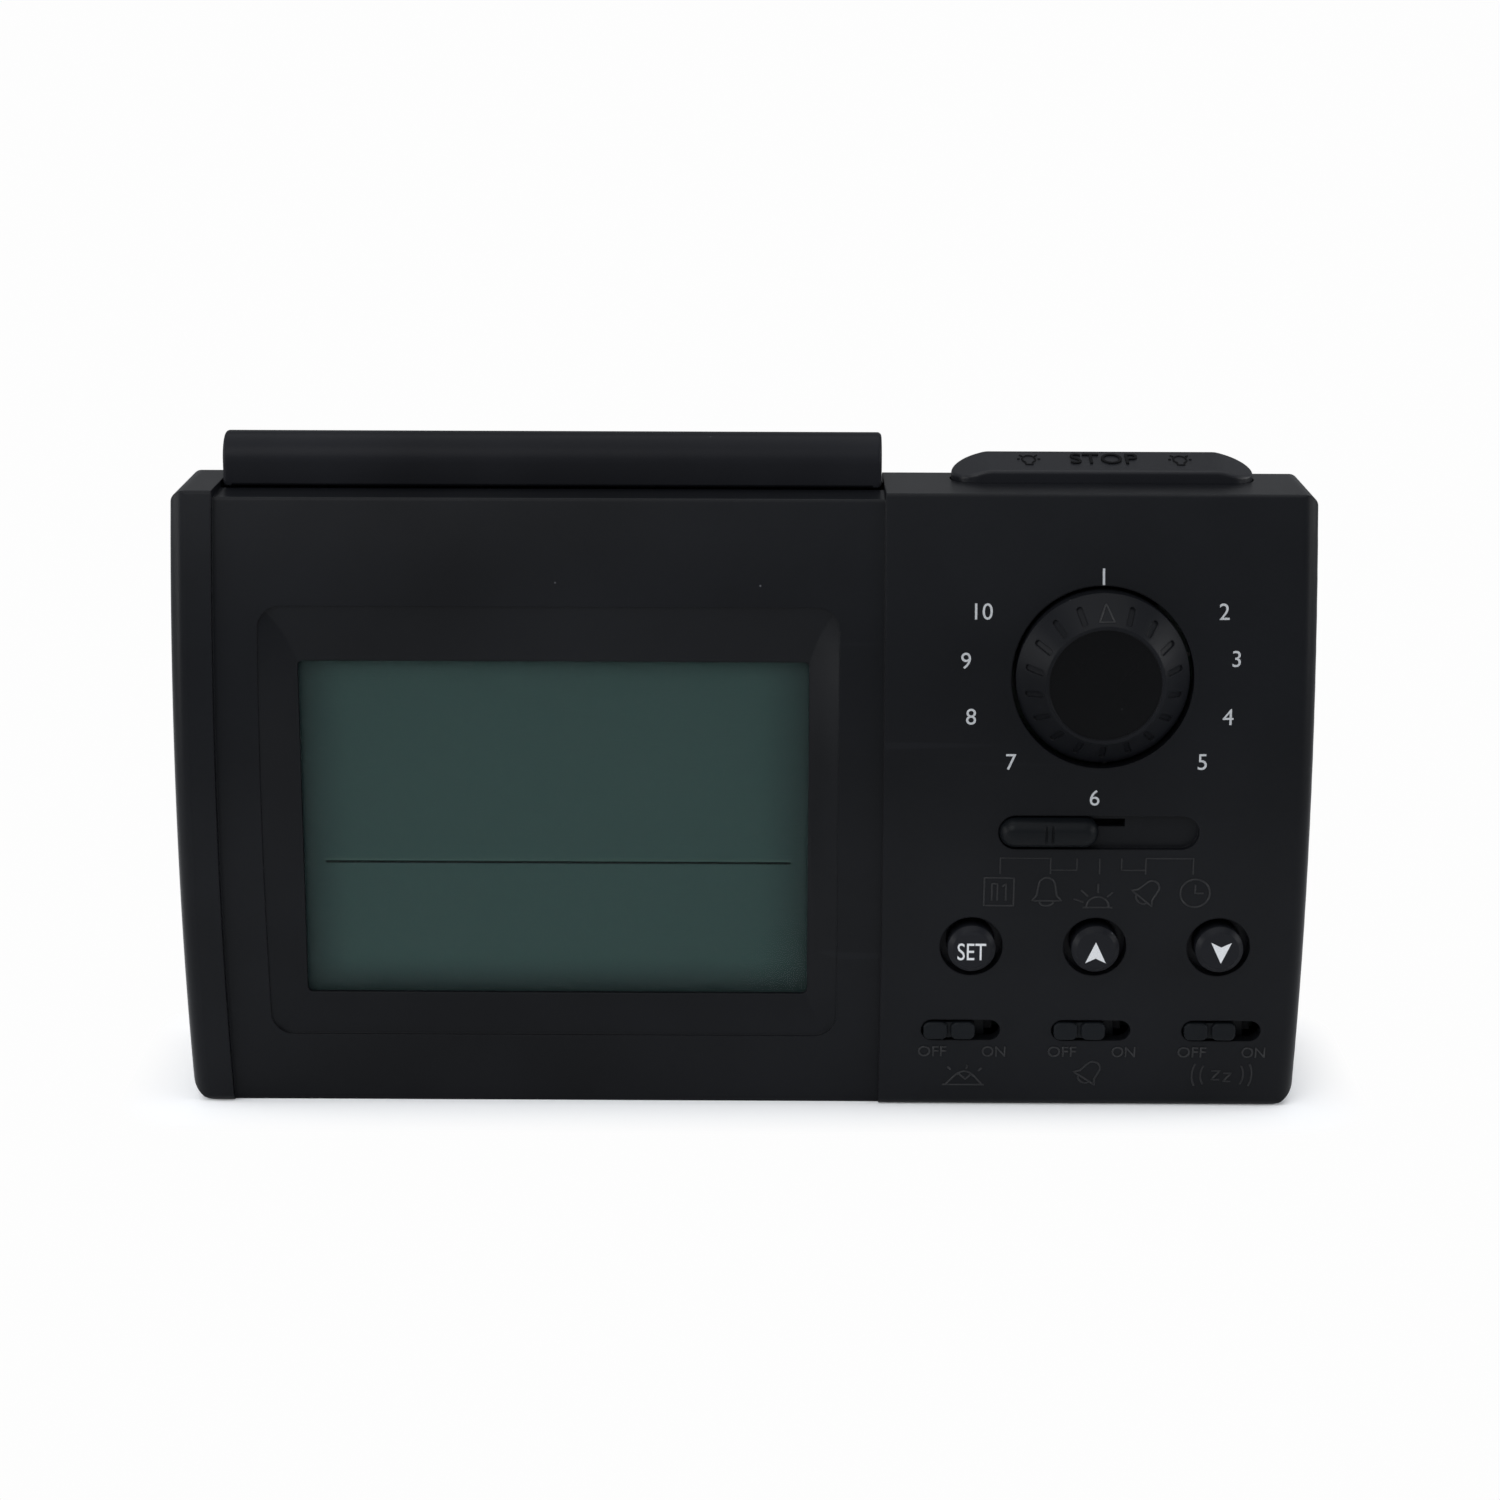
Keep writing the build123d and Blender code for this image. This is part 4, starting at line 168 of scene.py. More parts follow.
def floor_material():
    """Pale matt paper with painted shade that greys it further from the clock; seen directly, it
    is plain white beyond the clock's shadow.
    """
    mat, tree, shader = new_material("studio_floor", FLOOR_LEVEL)
    shader.inputs["Roughness"].default_value = FLOOR_ROUGH
    place = place_of(tree)
    out = vector_maths(tree, "SUBTRACT", place, FOOT_MIDDLE)
    out = vector_maths(tree, "ABSOLUTE", out)
    out = vector_maths(tree, "SUBTRACT", out, FOOT_HALF)
    out = vector_maths(tree, "MAXIMUM", out, (0.0, 0.0, 0.0))
    away = vector_maths(tree, "LENGTH", out)
    paper = mix_colour(tree, noise(tree, place, FIBRES, detail=3.0),
                       times(FLOOR_COLOUR, FLOOR_SHADE), FLOOR_COLOUR)
    # painted shade: the paper turns grey further from the clock
    painted_shade_ground = mix_colour(tree, ramp(tree, away, *FLOOR_PAINTED_SHADE_REACH), paper, FAR_FLOOR_PAINTED_SHADE)
    tree.links.new(painted_shade_ground, shader.inputs["Base Color"])
    direct = maths(tree, "MULTIPLY", ramp(tree, away, *SHADOW_REACH), seen_directly(tree))
    white = node(tree, "ShaderNodeEmission", [("Color", (*(BACKDROP_WHITE,) * 3, 1)),
                                              ("Strength", 1.0)])
    mixed = node(tree, "ShaderNodeMixShader", [(0, direct), (1, shader.outputs[0]),
                                               (2, white.outputs[0])])
    tree.links.new(mixed.outputs[0], tree.nodes["Material Output"].inputs["Surface"])
    return mat


# --- building blocks of materials ----------------------------------------------------------
MIX_INPUTS, MIX_RESULT = (0, 6, 7), 2          # a mix's sockets: factor, two colours; result
MOST_NOISE = (0.3, 0.7)              # nearly all values of a noise lie between these
MIDDLE_NOISE = (0.35, 0.65)


def new_material(name, level):
    """Material with a principled shader of a given specular level."""
    mat = bpy.data.materials.new(name)
    mat.use_nodes = True
    shader = mat.node_tree.nodes["Principled BSDF"]
    shader.inputs["Specular IOR Level"].default_value = level
    return mat, mat.node_tree, shader


def node(tree, kind, links=(), **values):
    """New node, its sockets filled with (socket, output or value), and its settings by name."""
    made = tree.nodes.new(kind)
    for key, value in values.items():
        setattr(made, key, value)
    for socket, source in links:
        if hasattr(source, "is_output"):
            tree.links.new(source, made.inputs[socket])
        else:
            made.inputs[socket].default_value = source
    return made


def maths(tree, operation, *values):
    """Result of an operation on numbers."""
    return node(tree, "ShaderNodeMath", enumerate(values), operation=operation).outputs[0]


def vector_maths(tree, operation, *values):
    """Result of an operation on vectors: a number for a length or a distance."""
    made = node(tree, "ShaderNodeVectorMath", enumerate(values), operation=operation)
    return made.outputs["Value" if operation in ("LENGTH", "DISTANCE") else "Vector"]


def noise(tree, place, scale=1.0, detail=2.0, rough=0.5):
    """Noise by place on the object, scale in features per metre."""
    made = node(tree, "ShaderNodeTexNoise",
                [("Vector", place), ("Scale", scale), ("Detail", detail), ("Roughness", rough)])
    return made.outputs["Fac"]


def stretched(tree, place, scale, turn=(0.0, 0.0, 0.0)):
    """The place turned and scaled differently along each axis."""
    return node(tree, "ShaderNodeMapping",
                [("Vector", place), ("Rotation", turn), ("Scale", scale)]).outputs["Vector"]


def ramp(tree, source, low, high, value_low=0.0, value_high=1.0):
    """Maps a range of one value to another, clamped."""
    made = node(tree, "ShaderNodeMapRange",
                [("Value", source), ("From Min", low), ("From Max", high),
                 ("To Min", value_low), ("To Max", value_high)])
    return made.outputs["Result"]


def mix_colour(tree, factor, low, high):
    """Blend of two colours, by a factor from another node."""
    colours = [value if hasattr(value, "is_output") else (*value, 1) for value in (low, high)]
    made = node(tree, "ShaderNodeMix", zip(MIX_INPUTS, (factor, *colours)), data_type="RGBA")
    return made.outputs[MIX_RESULT]


def times(colour, share):
    """A colour made lighter or darker."""
    return tuple(c * share for c in colour)


def bump(tree, shader, height, strength, distance):
    """Adds fine relief from a height value."""
    before = shader.inputs["Normal"].links
    made = node(tree, "ShaderNodeBump", [("Height", height), ("Strength", strength),
                                         ("Distance", distance)])
    if before:
        tree.links.new(before[0].from_socket, made.inputs["Normal"])
    tree.links.new(made.outputs["Normal"], shader.inputs["Normal"])


def finish(tree, shader, colour, rough):
    """Joins a colour and a roughness to the shader."""
    tree.links.new(colour, shader.inputs["Base Color"])
    tree.links.new(rough, shader.inputs["Roughness"])


def place_of(tree):
    """Place on the object, which doesn't slide when the camera moves."""
    return node(tree, "ShaderNodeTexCoord").outputs["Object"]


# --- moulded plastic -----------------------------------------------------------------------
EDGE_SOFTNESS = 0.0003               # moulded edges are this round
EDGE_SAMPLES = 4
SPARK_GRAIN = 2600.0                 # per metre, as every scale here
SPARK_STRENGTH, SPARK_DEPTH = 0.35, 0.000012
CLOUDS, SMEARS = 28.0, 9.0
CLOUD_SHADES = (0.8, 1.25)
SMEAR_GLOSS = 0.035                  # the roughness varies by this much
SPECKS = 420.0
SPECK_SIZE = (0.035, 0.075)          # parts of a cell: middle and edge of a speck
SPECK_CHANCE = (0.975, 0.99)         # few cells hold one
SPECK_COLOUR = (0.30, 0.31, 0.33)
SPECK_ROUGH = 0.3
SCRATCH_TURN, SCRATCH_SCALE = (0.2, 0.5, 0.3), (9.0, 160.0, 300.0)
SCRATCH_CHANCE = (0.735, 0.76)
SCRATCH_STRENGTH, SCRATCH_DEPTH = 0.2, 0.00001
SCRATCH_LIGHTER, SCRATCH_LEAST = 3, 0.004      # times the colour, and this much on top
DISC_PAINTED_SHADE, DISC_GLOSS = 0.25, 0.75  # shares of the dial's colour and roughness on its disc; the darker colour is painted shade

PLASTICS = {                         # colour, roughness, specular level, dust, scratches
    "case_black": ((0.0042, 0.0046, 0.0056), 0.36, 0.085, 0.3, 0.12),
    "cover_black": ((0.0085, 0.0089, 0.0106), 0.36, 0.05, 0.3, 0.12),
    "dial_black": ((0.0050, 0.0054, 0.0066), 0.36, 0.07, 0.1, 0.12),
    "knob_black": ((0.0040, 0.0048, 0.0058), 0.36, 0.08, 0.1, 0.12),
    "button_black": ((0.0054, 0.0058, 0.0074), 0.36, 0.10, 0.1, 0.12),
    "top_button_black": ((0.0054, 0.0058, 0.0074), 0.36, 0.19, 0.1, 0.12),
    # the raised lines get a lighter, glossier copy of the case plastic: painted highlight on lines
    # moulded in the same plastic
    "relief_black": ((0.0060, 0.0064, 0.0074), 0.30, 0.30, 0.0, 0.0)}


def plastic(name, colour, rough, level, dust, scratch):
    """Moulded plastic: spark-eroded grain, uneven gloss, specks of dust and fine scratches."""
    mat, tree, shader = new_material(name, level)
    place = place_of(tree)
    specks = node(tree, "ShaderNodeTexVoronoi", [("Vector", place), ("Scale", SPECKS)])
    near = ramp(tree, specks.outputs["Distance"], *SPECK_SIZE, 1.0, 0.0)
    chance = node(tree, "ShaderNodeSeparateColor", [("Color", specks.outputs["Color"])])
    few = ramp(tree, chance.outputs["Red"], *SPECK_CHANCE, 0.0, dust)
    speck = maths(tree, "MULTIPLY", near, few)
    lines = noise(tree, stretched(tree, place, SCRATCH_SCALE, SCRATCH_TURN), detail=1.0)
    scratches = ramp(tree, lines, *SCRATCH_CHANCE, 0.0, scratch)
    cloud = ramp(tree, noise(tree, place, CLOUDS, detail=3.0), *MIDDLE_NOISE)
    base = mix_colour(tree, cloud, *(times(colour, share) for share in CLOUD_SHADES))
    bared = tuple(c + SCRATCH_LEAST for c in times(colour, SCRATCH_LIGHTER))
    dusty = mix_colour(tree, speck, mix_colour(tree, scratches, base, bared), SPECK_COLOUR)
    smear = ramp(tree, noise(tree, place, SMEARS, detail=4.0, rough=0.6), *MOST_NOISE,
                 rough - SMEAR_GLOSS, rough + SMEAR_GLOSS)
    gloss = maths(tree, "ADD", smear, ramp(tree, speck, 0.0, 1.0, 0.0, SPECK_ROUGH))
    finish(tree, shader, dusty, gloss)
    soft_edge = node(tree, "ShaderNodeBevel", [("Radius", EDGE_SOFTNESS)], samples=EDGE_SAMPLES)
    tree.links.new(soft_edge.outputs["Normal"], shader.inputs["Normal"])
    bump(tree, shader, noise(tree, place, SPARK_GRAIN), SPARK_STRENGTH, SPARK_DEPTH)
    bump(tree, shader, scratches, SCRATCH_STRENGTH, SCRATCH_DEPTH)
    return mat


def smooth_disc_with_painted_shade(mat):
    """Makes the disc in the middle of the dial smoother, and darker with painted shade."""
    tree = mat.node_tree
    shader = tree.nodes["Principled BSDF"]
    flat = vector_maths(tree, "MULTIPLY", place_of(tree), (1.0, 0.0, 1.0))
    away = vector_maths(tree, "DISTANCE", flat, (CONTROL_X * MM, 0.0, DIAL_Z * MM))
    inside = ramp(tree, away, (DISC_R - DISC_EDGE) * MM, DISC_R * MM, 1.0, 0.0)
    # the colour share is painted shade; the roughness share is the disc's own smoother finish
    for name, share, painted_shade_mask in (("Base Color", DISC_PAINTED_SHADE, vector_maths),
                                 ("Roughness", DISC_GLOSS, maths)):
        under = shader.inputs[name].links[0].from_socket
        kept = ramp(tree, inside, 0.0, 1.0, 1.0, share)
        tree.links.new(painted_shade_mask(tree, "MULTIPLY", under, kept), shader.inputs[name])


# --- metal, ink, paper, rubber and plain mouldings -----------------------------------------
STAINS = 150.0
STAIN_CHANCE, STAIN_SHADE = (0.4, 0.7), 0.72
STREAK_GLOSS = (0.75, 1.3)           # shares of the roughness
STREAK_STRENGTH, STREAK_DEPTH = 0.25, 0.00001
METAL_LEVEL = 0.5
METALS = {                           # colour, roughness, scale of the brushing
    "screw_steel": ((0.42, 0.42, 0.43), 0.32, (900.0, 900.0, 900.0)),
    "pin_steel": ((0.50, 0.50, 0.51), 0.25, (120.0, 2500.0, 2500.0)),
    "can_steel": ((0.62, 0.62, 0.62), 0.3, (2000.0, 150.0, 2000.0)),
    "speaker_steel": ((0.30, 0.30, 0.31), 0.4, (900.0, 900.0, 900.0)),
    "contact_nickel": ((0.66, 0.64, 0.58), 0.28, (900.0, 900.0, 900.0))}

INK_COVER, INK_CLOUDS = 5200.0, 120.0
INK_THIN, INK_SHADE = (0.3, 0.55), 0.85
INK_GLOSS = 0.08
INK_STRENGTH, INK_DEPTH = 0.3, 0.000008
INKS = {                             # colour, roughness, specular level
    "print_white": ((0.52, 0.53, 0.54), 0.55, 0.3),
    "print_grey": ((0.34, 0.35, 0.36), 0.55, 0.3),
    "display_line": ((0.0015, 0.002, 0.002), 0.5, 0.02),
    "display_edge": ((0.040, 0.078, 0.066), 0.5, 0.04)}

MATT_CLOUDS, MATT_SHADE = 60.0, 0.86
MATT_GLOSS, MATT_STRENGTH = 0.1, 0.4
MATTS = {                            # colour, roughness, grain, its depth, specular level
    # a darker, matt copy of the button plastic for its raised letters and lamps: painted shade
    "relief_dark": ((0.0028, 0.0030, 0.0036), 0.6, 2600.0, 0.00001, 0.06),
    "guide_white": ((0.75, 0.77, 0.76), 0.35, 700.0, 0.00002, 0.5),
    "holder_white": ((0.68, 0.68, 0.65), 0.7, 900.0, 0.00003, 0.3),
    "strip_rubber": ((0.45, 0.12, 0.10), 0.75, 2600.0, 0.00003, 0.3),
    "chip_black": ((0.016, 0.016, 0.017), 0.6, 3500.0, 0.00003, 0.3),
    "switch_black": ((0.022, 0.022, 0.024), 0.5, 2200.0, 0.00003, 0.3),
    "socket_white": ((0.62, 0.60, 0.54), 0.5, 1200.0, 0.00003, 0.3),
    "lamp_white": ((0.72, 0.70, 0.55), 0.3, 2000.0, 0.00003, 0.3),
    "cable_grey": ((0.30, 0.31, 0.33), 0.55, 1800.0, 0.00003, 0.3),
    "wire_red": ((0.42, 0.02, 0.02), 0.45, 1500.0, 0.00003, 0.3),
    "wire_black": ((0.012, 0.012, 0.013), 0.45, 1500.0, 0.00003, 0.3),
    "magnet_grey": ((0.055, 0.055, 0.058), 0.65, 2400.0, 0.00006, 0.3),
    "cone_paper": ((0.035, 0.033, 0.030), 0.85, 1900.0, 0.00008, 0.3)}


def metal(name, colour, rough, scale):
    """Plated metal with brushed streaks and faint stains."""
    mat, tree, shader = new_material(name, METAL_LEVEL)
    place = place_of(tree)
    streaks = noise(tree, stretched(tree, place, scale), detail=3.0)
    stain = ramp(tree, noise(tree, place, STAINS, detail=3.0), *STAIN_CHANCE)
    base = mix_colour(tree, stain, colour, times(colour, STAIN_SHADE))
    finish(tree, shader, base,
           ramp(tree, streaks, *MOST_NOISE, *(rough * share for share in STREAK_GLOSS)))
    shader.inputs["Metallic"].default_value = 1.0
    bump(tree, shader, streaks, STREAK_STRENGTH, STREAK_DEPTH)
    return mat


def printed(name, colour, rough, level):
    """Screen-printed ink with slightly uneven cover."""
    mat, tree, shader = new_material(name, level)
    place = place_of(tree)
    cover = noise(tree, place, INK_COVER, detail=3.0)
    base = mix_colour(tree, ramp(tree, cover, *INK_THIN), times(colour, INK_SHADE), colour)
    finish(tree, shader, base, ramp(tree, noise(tree, place, INK_CLOUDS), *MOST_NOISE,
                                    rough - INK_GLOSS, rough + INK_GLOSS))
    bump(tree, shader, cover, INK_STRENGTH, INK_DEPTH)
    return mat


def soft_matt(name, colour, rough, scale, depth, level):
    """Plain moulded, paper or rubber surface with a fine uneven grain."""
    mat, tree, shader = new_material(name, level)
    place = place_of(tree)
    grain = noise(tree, place, scale, detail=4.0, rough=0.6)
    cloud = ramp(tree, noise(tree, place, MATT_CLOUDS, detail=3.0), *MIDDLE_NOISE)
    base = mix_colour(tree, cloud, times(colour, MATT_SHADE), colour)
    finish(tree, shader, base,
           ramp(tree, grain, *MOST_NOISE, rough - MATT_GLOSS, rough + MATT_GLOSS))
    bump(tree, shader, grain, MATT_STRENGTH, depth)
    return mat


# --- circuit boards and battery cells ------------------------------------------------------
BOARD_LEVEL = 0.5
TRACKS, TRACK_WIDE = 95.0, 0.035
TRACK_HEIGHTS = {"Color1": (0, 0, 0, 1), "Color2": (0.1, 0.1, 0.1, 1), "Mortar": (1, 1, 1, 1)}
TRACK_STRENGTH, TRACK_DEPTH = 0.4, 0.00003
MASK_DARK, MASK_LIGHT = (0.003, 0.017, 0.008), (0.006, 0.030, 0.013)
PADS, PAD_SIZE = 330.0, (0.16, 0.2)
PAD_STRENGTH, PAD_DEPTH = 0.3, 0.00004
PAD_COLOUR = (0.20, 0.20, 0.19)
BOARD_ROUGH, PAD_ROUGH = 0.38, 0.25
CELL_LEVEL, CELL_ROUGH, CELL_GRAIN = 0.5, 0.3, 1500.0
CELL_GLOSS = (0.8, 1.2)
CELL_WEAR, CELL_WORN = 200.0, (0.2, 0.2, 0.2)
WEAR_CHANCE, WEAR_MOST = (0.5, 0.8), 0.35
WEAR_STRENGTH, WEAR_DEPTH = 0.2, 0.00002
BAND_EDGE = 0.1
CELL_COLOUR = (0.035, 0.035, 0.04)
CELL_BANDS = [(30, 40, (0.55, 0.34, 0.12)),                   # from, to along X, colour
              (25.8, 27.3, (0.5, 0.5, 0.5)), (72.8, 74.4, (0.5, 0.5, 0.5))]


def circuit_board(name):
    """Green solder mask over copper tracks, with tinned pads."""
    mat, tree, shader = new_material(name, BOARD_LEVEL)
    place = place_of(tree)
    upright = stretched(tree, place, (1.0, 1.0, 1.0), (math.pi / 2, 0, 0))
    tracks = node(tree, "ShaderNodeTexBrick",
                  [("Vector", upright), ("Scale", TRACKS), ("Mortar Size", TRACK_WIDE),
                   *TRACK_HEIGHTS.items()])
    pads = node(tree, "ShaderNodeTexVoronoi", [("Vector", place), ("Scale", PADS)])
    pad = ramp(tree, pads.outputs["Distance"], *PAD_SIZE, 1.0, 0.0)
    base = mix_colour(tree, tracks.outputs["Color"], MASK_DARK, MASK_LIGHT)
    finish(tree, shader, mix_colour(tree, pad, base, PAD_COLOUR),
           ramp(tree, pad, 0.0, 1.0, BOARD_ROUGH, PAD_ROUGH))
    bump(tree, shader, tracks.outputs["Color"], TRACK_STRENGTH, TRACK_DEPTH)
    bump(tree, shader, pad, PAD_STRENGTH, PAD_DEPTH)
    return mat


def cell_wrap(name):
    """Printed wrap of a battery cell, with bands of colour along X and a little wear."""
    mat, tree, shader = new_material(name, CELL_LEVEL)
    place = place_of(tree)
    along = node(tree, "ShaderNodeSeparateXYZ", [("Vector", place)]).outputs["X"]
    base = CELL_COLOUR
    for low, high, colour in CELL_BANDS:
        inside = maths(tree, "MULTIPLY", ramp(tree, along, low * MM, (low + BAND_EDGE) * MM),
                       ramp(tree, along, high * MM, (high - BAND_EDGE) * MM))
        base = mix_colour(tree, inside, base, colour)
    worn = noise(tree, place, CELL_WEAR, detail=4.0)
    shade = mix_colour(tree, ramp(tree, worn, *WEAR_CHANCE, 0.0, WEAR_MOST), base, CELL_WORN)
    finish(tree, shader, shade, ramp(tree, noise(tree, place, CELL_GRAIN), *MOST_NOISE,
                                     *(CELL_ROUGH * share for share in CELL_GLOSS)))
    bump(tree, shader, worn, WEAR_STRENGTH, WEAR_DEPTH)
    return mat


# --- display -------------------------------------------------------------------------------
HAIRLINE_TURN, HAIRLINE_SCALE = (0, 0.6, 0), (20, 1, 700)
HAIRLINE_CHANCE = (0.74, 0.77)
HAIRLINE_STRENGTH, HAIRLINE_DEPTH = 0.05, 0.000005
WINDOW_COLOUR, WINDOW_LEVEL, WINDOW_ALPHA = (0.05, 0.07, 0.07, 1), 0.12, 0.12
WINDOW_ROUGH = (0.12, 0.18)
GLASS_LEVEL, GLASS_ROUGH, GLASS_CLOUDS = 0.08, (0.30, 0.38), 60.0
GLASS_FOOT, GLASS_HEAD = (0.0250, 0.0520, 0.0465), (0.0255, 0.0500, 0.0450)
# the second colour is the painted shade at the display's edges
GLASS_SPOT, GLASS_PAINTED_SHADE = (0.0235, 0.0480, 0.0425), (0.012, 0.022, 0.021)
SPOTS, SPOT_STRENGTH, SPOT_DEPTH = 6500.0, 0.15, 0.000006
SIDE_PAINTED_SHADE = (0.001, 0.0062)         # painted shade along the edges: it starts this far outside the view, ends inside it
FOOT_PAINTED_SHADE = (0.0005, 0.0045)        # both inside it
HEAD_PAINTED_SHADE, HEAD_LEAST = (0.001, 0.003), 0.55  # painted shade as at the sides, but this much light is left


def clear_window(name):
    """Clear acrylic with a few hairline scratches."""
    mat, tree, shader = new_material(name, WINDOW_LEVEL)
    place = stretched(tree, place_of(tree), HAIRLINE_SCALE, HAIRLINE_TURN)
    lines = ramp(tree, noise(tree, place, detail=1.0), *HAIRLINE_CHANCE)
    tree.links.new(ramp(tree, lines, 0.0, 1.0, *WINDOW_ROUGH), shader.inputs["Roughness"])
    shader.inputs["Base Color"].default_value = WINDOW_COLOUR
    shader.inputs["Alpha"].default_value = WINDOW_ALPHA
    bump(tree, shader, lines, HAIRLINE_STRENGTH, HAIRLINE_DEPTH)
    return mat


def display(name):
    """Unlit liquid crystal glass: dark green grey, with painted shade darkening it along its
    edges.
    """
    mat, tree, shader = new_material(name, GLASS_LEVEL)
    place = place_of(tree)
    axes = node(tree, "ShaderNodeSeparateXYZ", [("Vector", place)]).outputs
    left, right, bottom, top = (v * MM for v in VIEW)
    # painted shade along the edges of the display's view
    painted_shade_mask = ramp(tree, axes["X"], left - SIDE_PAINTED_SHADE[0], left + SIDE_PAINTED_SHADE[1])
    for side in (ramp(tree, axes["X"], right + SIDE_PAINTED_SHADE[0], right - SIDE_PAINTED_SHADE[1]),
                 ramp(tree, axes["Z"], *(bottom + reach for reach in FOOT_PAINTED_SHADE)),
                 ramp(tree, axes["Z"], top + HEAD_PAINTED_SHADE[0], top - HEAD_PAINTED_SHADE[1], HEAD_LEAST)):
        painted_shade_mask = maths(tree, "MULTIPLY", painted_shade_mask, side)
    lit = mix_colour(tree, ramp(tree, axes["Z"], bottom, top), GLASS_FOOT, GLASS_HEAD)
    spots = noise(tree, place, SPOTS, detail=1.0)
    grainy = mix_colour(tree, ramp(tree, spots, *MOST_NOISE), lit, GLASS_SPOT)
    finish(tree, shader, mix_colour(tree, painted_shade_mask, GLASS_PAINTED_SHADE, grainy),
           ramp(tree, noise(tree, place, GLASS_CLOUDS), *MOST_NOISE, *GLASS_ROUGH))
    bump(tree, shader, spots, SPOT_STRENGTH, SPOT_DEPTH)
    return mat


# --- dressing the CAD nodes ----------------------------------------------------------------
def make_materials():
    """One material for each slot of the record, and those of the marks."""
    made = {"lens_clear": clear_window("window_clear_finish"),
            "display_glass": display("display_finish"),
            "board_green": circuit_board("board_green_finish"),
            "cell_wrap": cell_wrap("cell_wrap_finish")}
    for make, table in ((plastic, PLASTICS), (metal, METALS), (printed, INKS),
                        (soft_matt, MATTS)):
        for slot, values in table.items():
            made[slot] = make(f"{slot}_finish", *values)
    smooth_disc_with_painted_shade(made["dial_black"])
    return made


def dress_nodes(materials):
    """Gives each CAD node the finish of its slot, and the long button its own."""
    for cad_node in NODES.values():
        for holder in cad_node.material_slots:
            holder.material = materials[holder.material.name.split(".")[0]]
    for holder in NODES["top_button"].material_slots:
        holder.material = materials["top_button_black"]


# --- marks on the surfaces -----------------------------------------------------------------
RAY_START_Y = -0.03                  # in metres, in front of everything
RAY_START_Z = 0.12                   # in metres, above everything
INK_THICK = 0.03                     # in millimetres, as every size from here on
LETTER_SMOOTH = 4
LONG_EDGE, EDGE_CUTS = 3, 6          # a longer edge is cut so many times
BEAD_WIDE, BEAD_STEP = 0.27, 0.5
BEAD_SMOOTH = 2
BEAD_SUNK = -0.01                    # height of a bead's middle line over the surface
TREES = {}


def land(name, point, direction):
    """Where a line from a point meets a node, in metres, and the surface's normal there."""
    if name not in TREES:
        mesh = NODES[name].data
        TREES[name] = BVHTree.FromPolygons([v.co for v in mesh.vertices],
                                           [p.vertices for p in mesh.polygons])
    place, normal, _, _ = TREES[name].ray_cast(Vector(point), Vector(direction))
    if place is None:
        raise ValueError(f"no surface of {name} at {point}")
    if normal.dot(Vector(direction)) > 0:
        normal = -normal
    return place, normal


def front_of(name):
    """Lays marks drawn in X and Z on the front of a node."""
    def lay(x, z, rise):
        place, normal = land(name, (x * MM, RAY_START_Y, z * MM), (0, 1, 0))
        return place + normal * rise * MM
    return lay


def top_of(name):
    """Lays marks drawn in X and Y on the top of a node."""
    def lay(x, y, rise):
        place, normal = land(name, (x * MM, y * MM, RAY_START_Z), (0, 0, -1))
        return place + normal * rise * MM
    return lay


def finish_piece(piece, body, material):
    """Gives a new piece its material and hangs it under its body."""
    piece.data.materials.clear()
    piece.data.materials.append(material)
    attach(piece, body)


def drawn_mesh(name, curve):
    """Mesh of a text or a curve."""
    drawn = added(name, curve)
    bpy.context.view_layer.update()
    mesh = bpy.data.meshes.new_from_object(drawn.evaluated_get(
        bpy.context.evaluated_depsgraph_get()))
    bpy.data.objects.remove(drawn)
    return mesh


def glyphs(name, word, size, centre, lay, thick=INK_THICK):
    """Flat letters laid on a surface; with no width, they keep their own proportions."""
    curve = bpy.data.curves.new(name, "FONT")
    curve.body = word
    curve.extrude = 1.0
    curve.resolution_u = LETTER_SMOOTH
    curve.align_x, curve.align_y = "CENTER", "CENTER"
    mesh = drawn_mesh(name, curve)
    xs = [v.co.x for v in mesh.vertices]
    ys = [v.co.y for v in mesh.vertices]
    x_mid, y_mid = (min(xs) + max(xs)) / 2, (min(ys) + max(ys)) / 2
    scale_y = size[1] / (max(ys) - min(ys))
    scale_x = size[0] / (max(xs) - min(xs)) if size[0] else scale_y
    for v in mesh.vertices:
        v.co = lay(centre[0] + (v.co.x - x_mid) * scale_x, centre[1] + (v.co.y - y_mid) * scale_y,
                   thick if v.co.z > 0 else -thick)
    return added(name, mesh)


def plate(name, corners, lay, thick=INK_THICK):
    """Flat printed shape from its corners, split so that it follows a curved surface."""
    made = bmesh.new()
    base = made.faces.new([made.verts.new((x, y, -1)) for x, y in corners])
    grown = bmesh.ops.extrude_face_region(made, geom=[base])
    for v in grown["geom"]:
        if isinstance(v, bmesh.types.BMVert):
            v.co.z = 1
    bmesh.ops.triangulate(made, faces=made.faces)
    long = [e for e in made.edges if (e.verts[0].co - e.verts[1].co).length > LONG_EDGE]
    bmesh.ops.subdivide_edges(made, edges=long, cuts=EDGE_CUTS)
    bmesh.ops.triangulate(made, faces=made.faces)
    bmesh.ops.recalc_face_normals(made, faces=made.faces)
    for v in made.verts:
        v.co = lay(v.co.x, v.co.y, thick if v.co.z > 0 else -thick)
    mesh = bpy.data.meshes.new(name)
    made.to_mesh(mesh)
    made.free()
    return added(name, mesh)


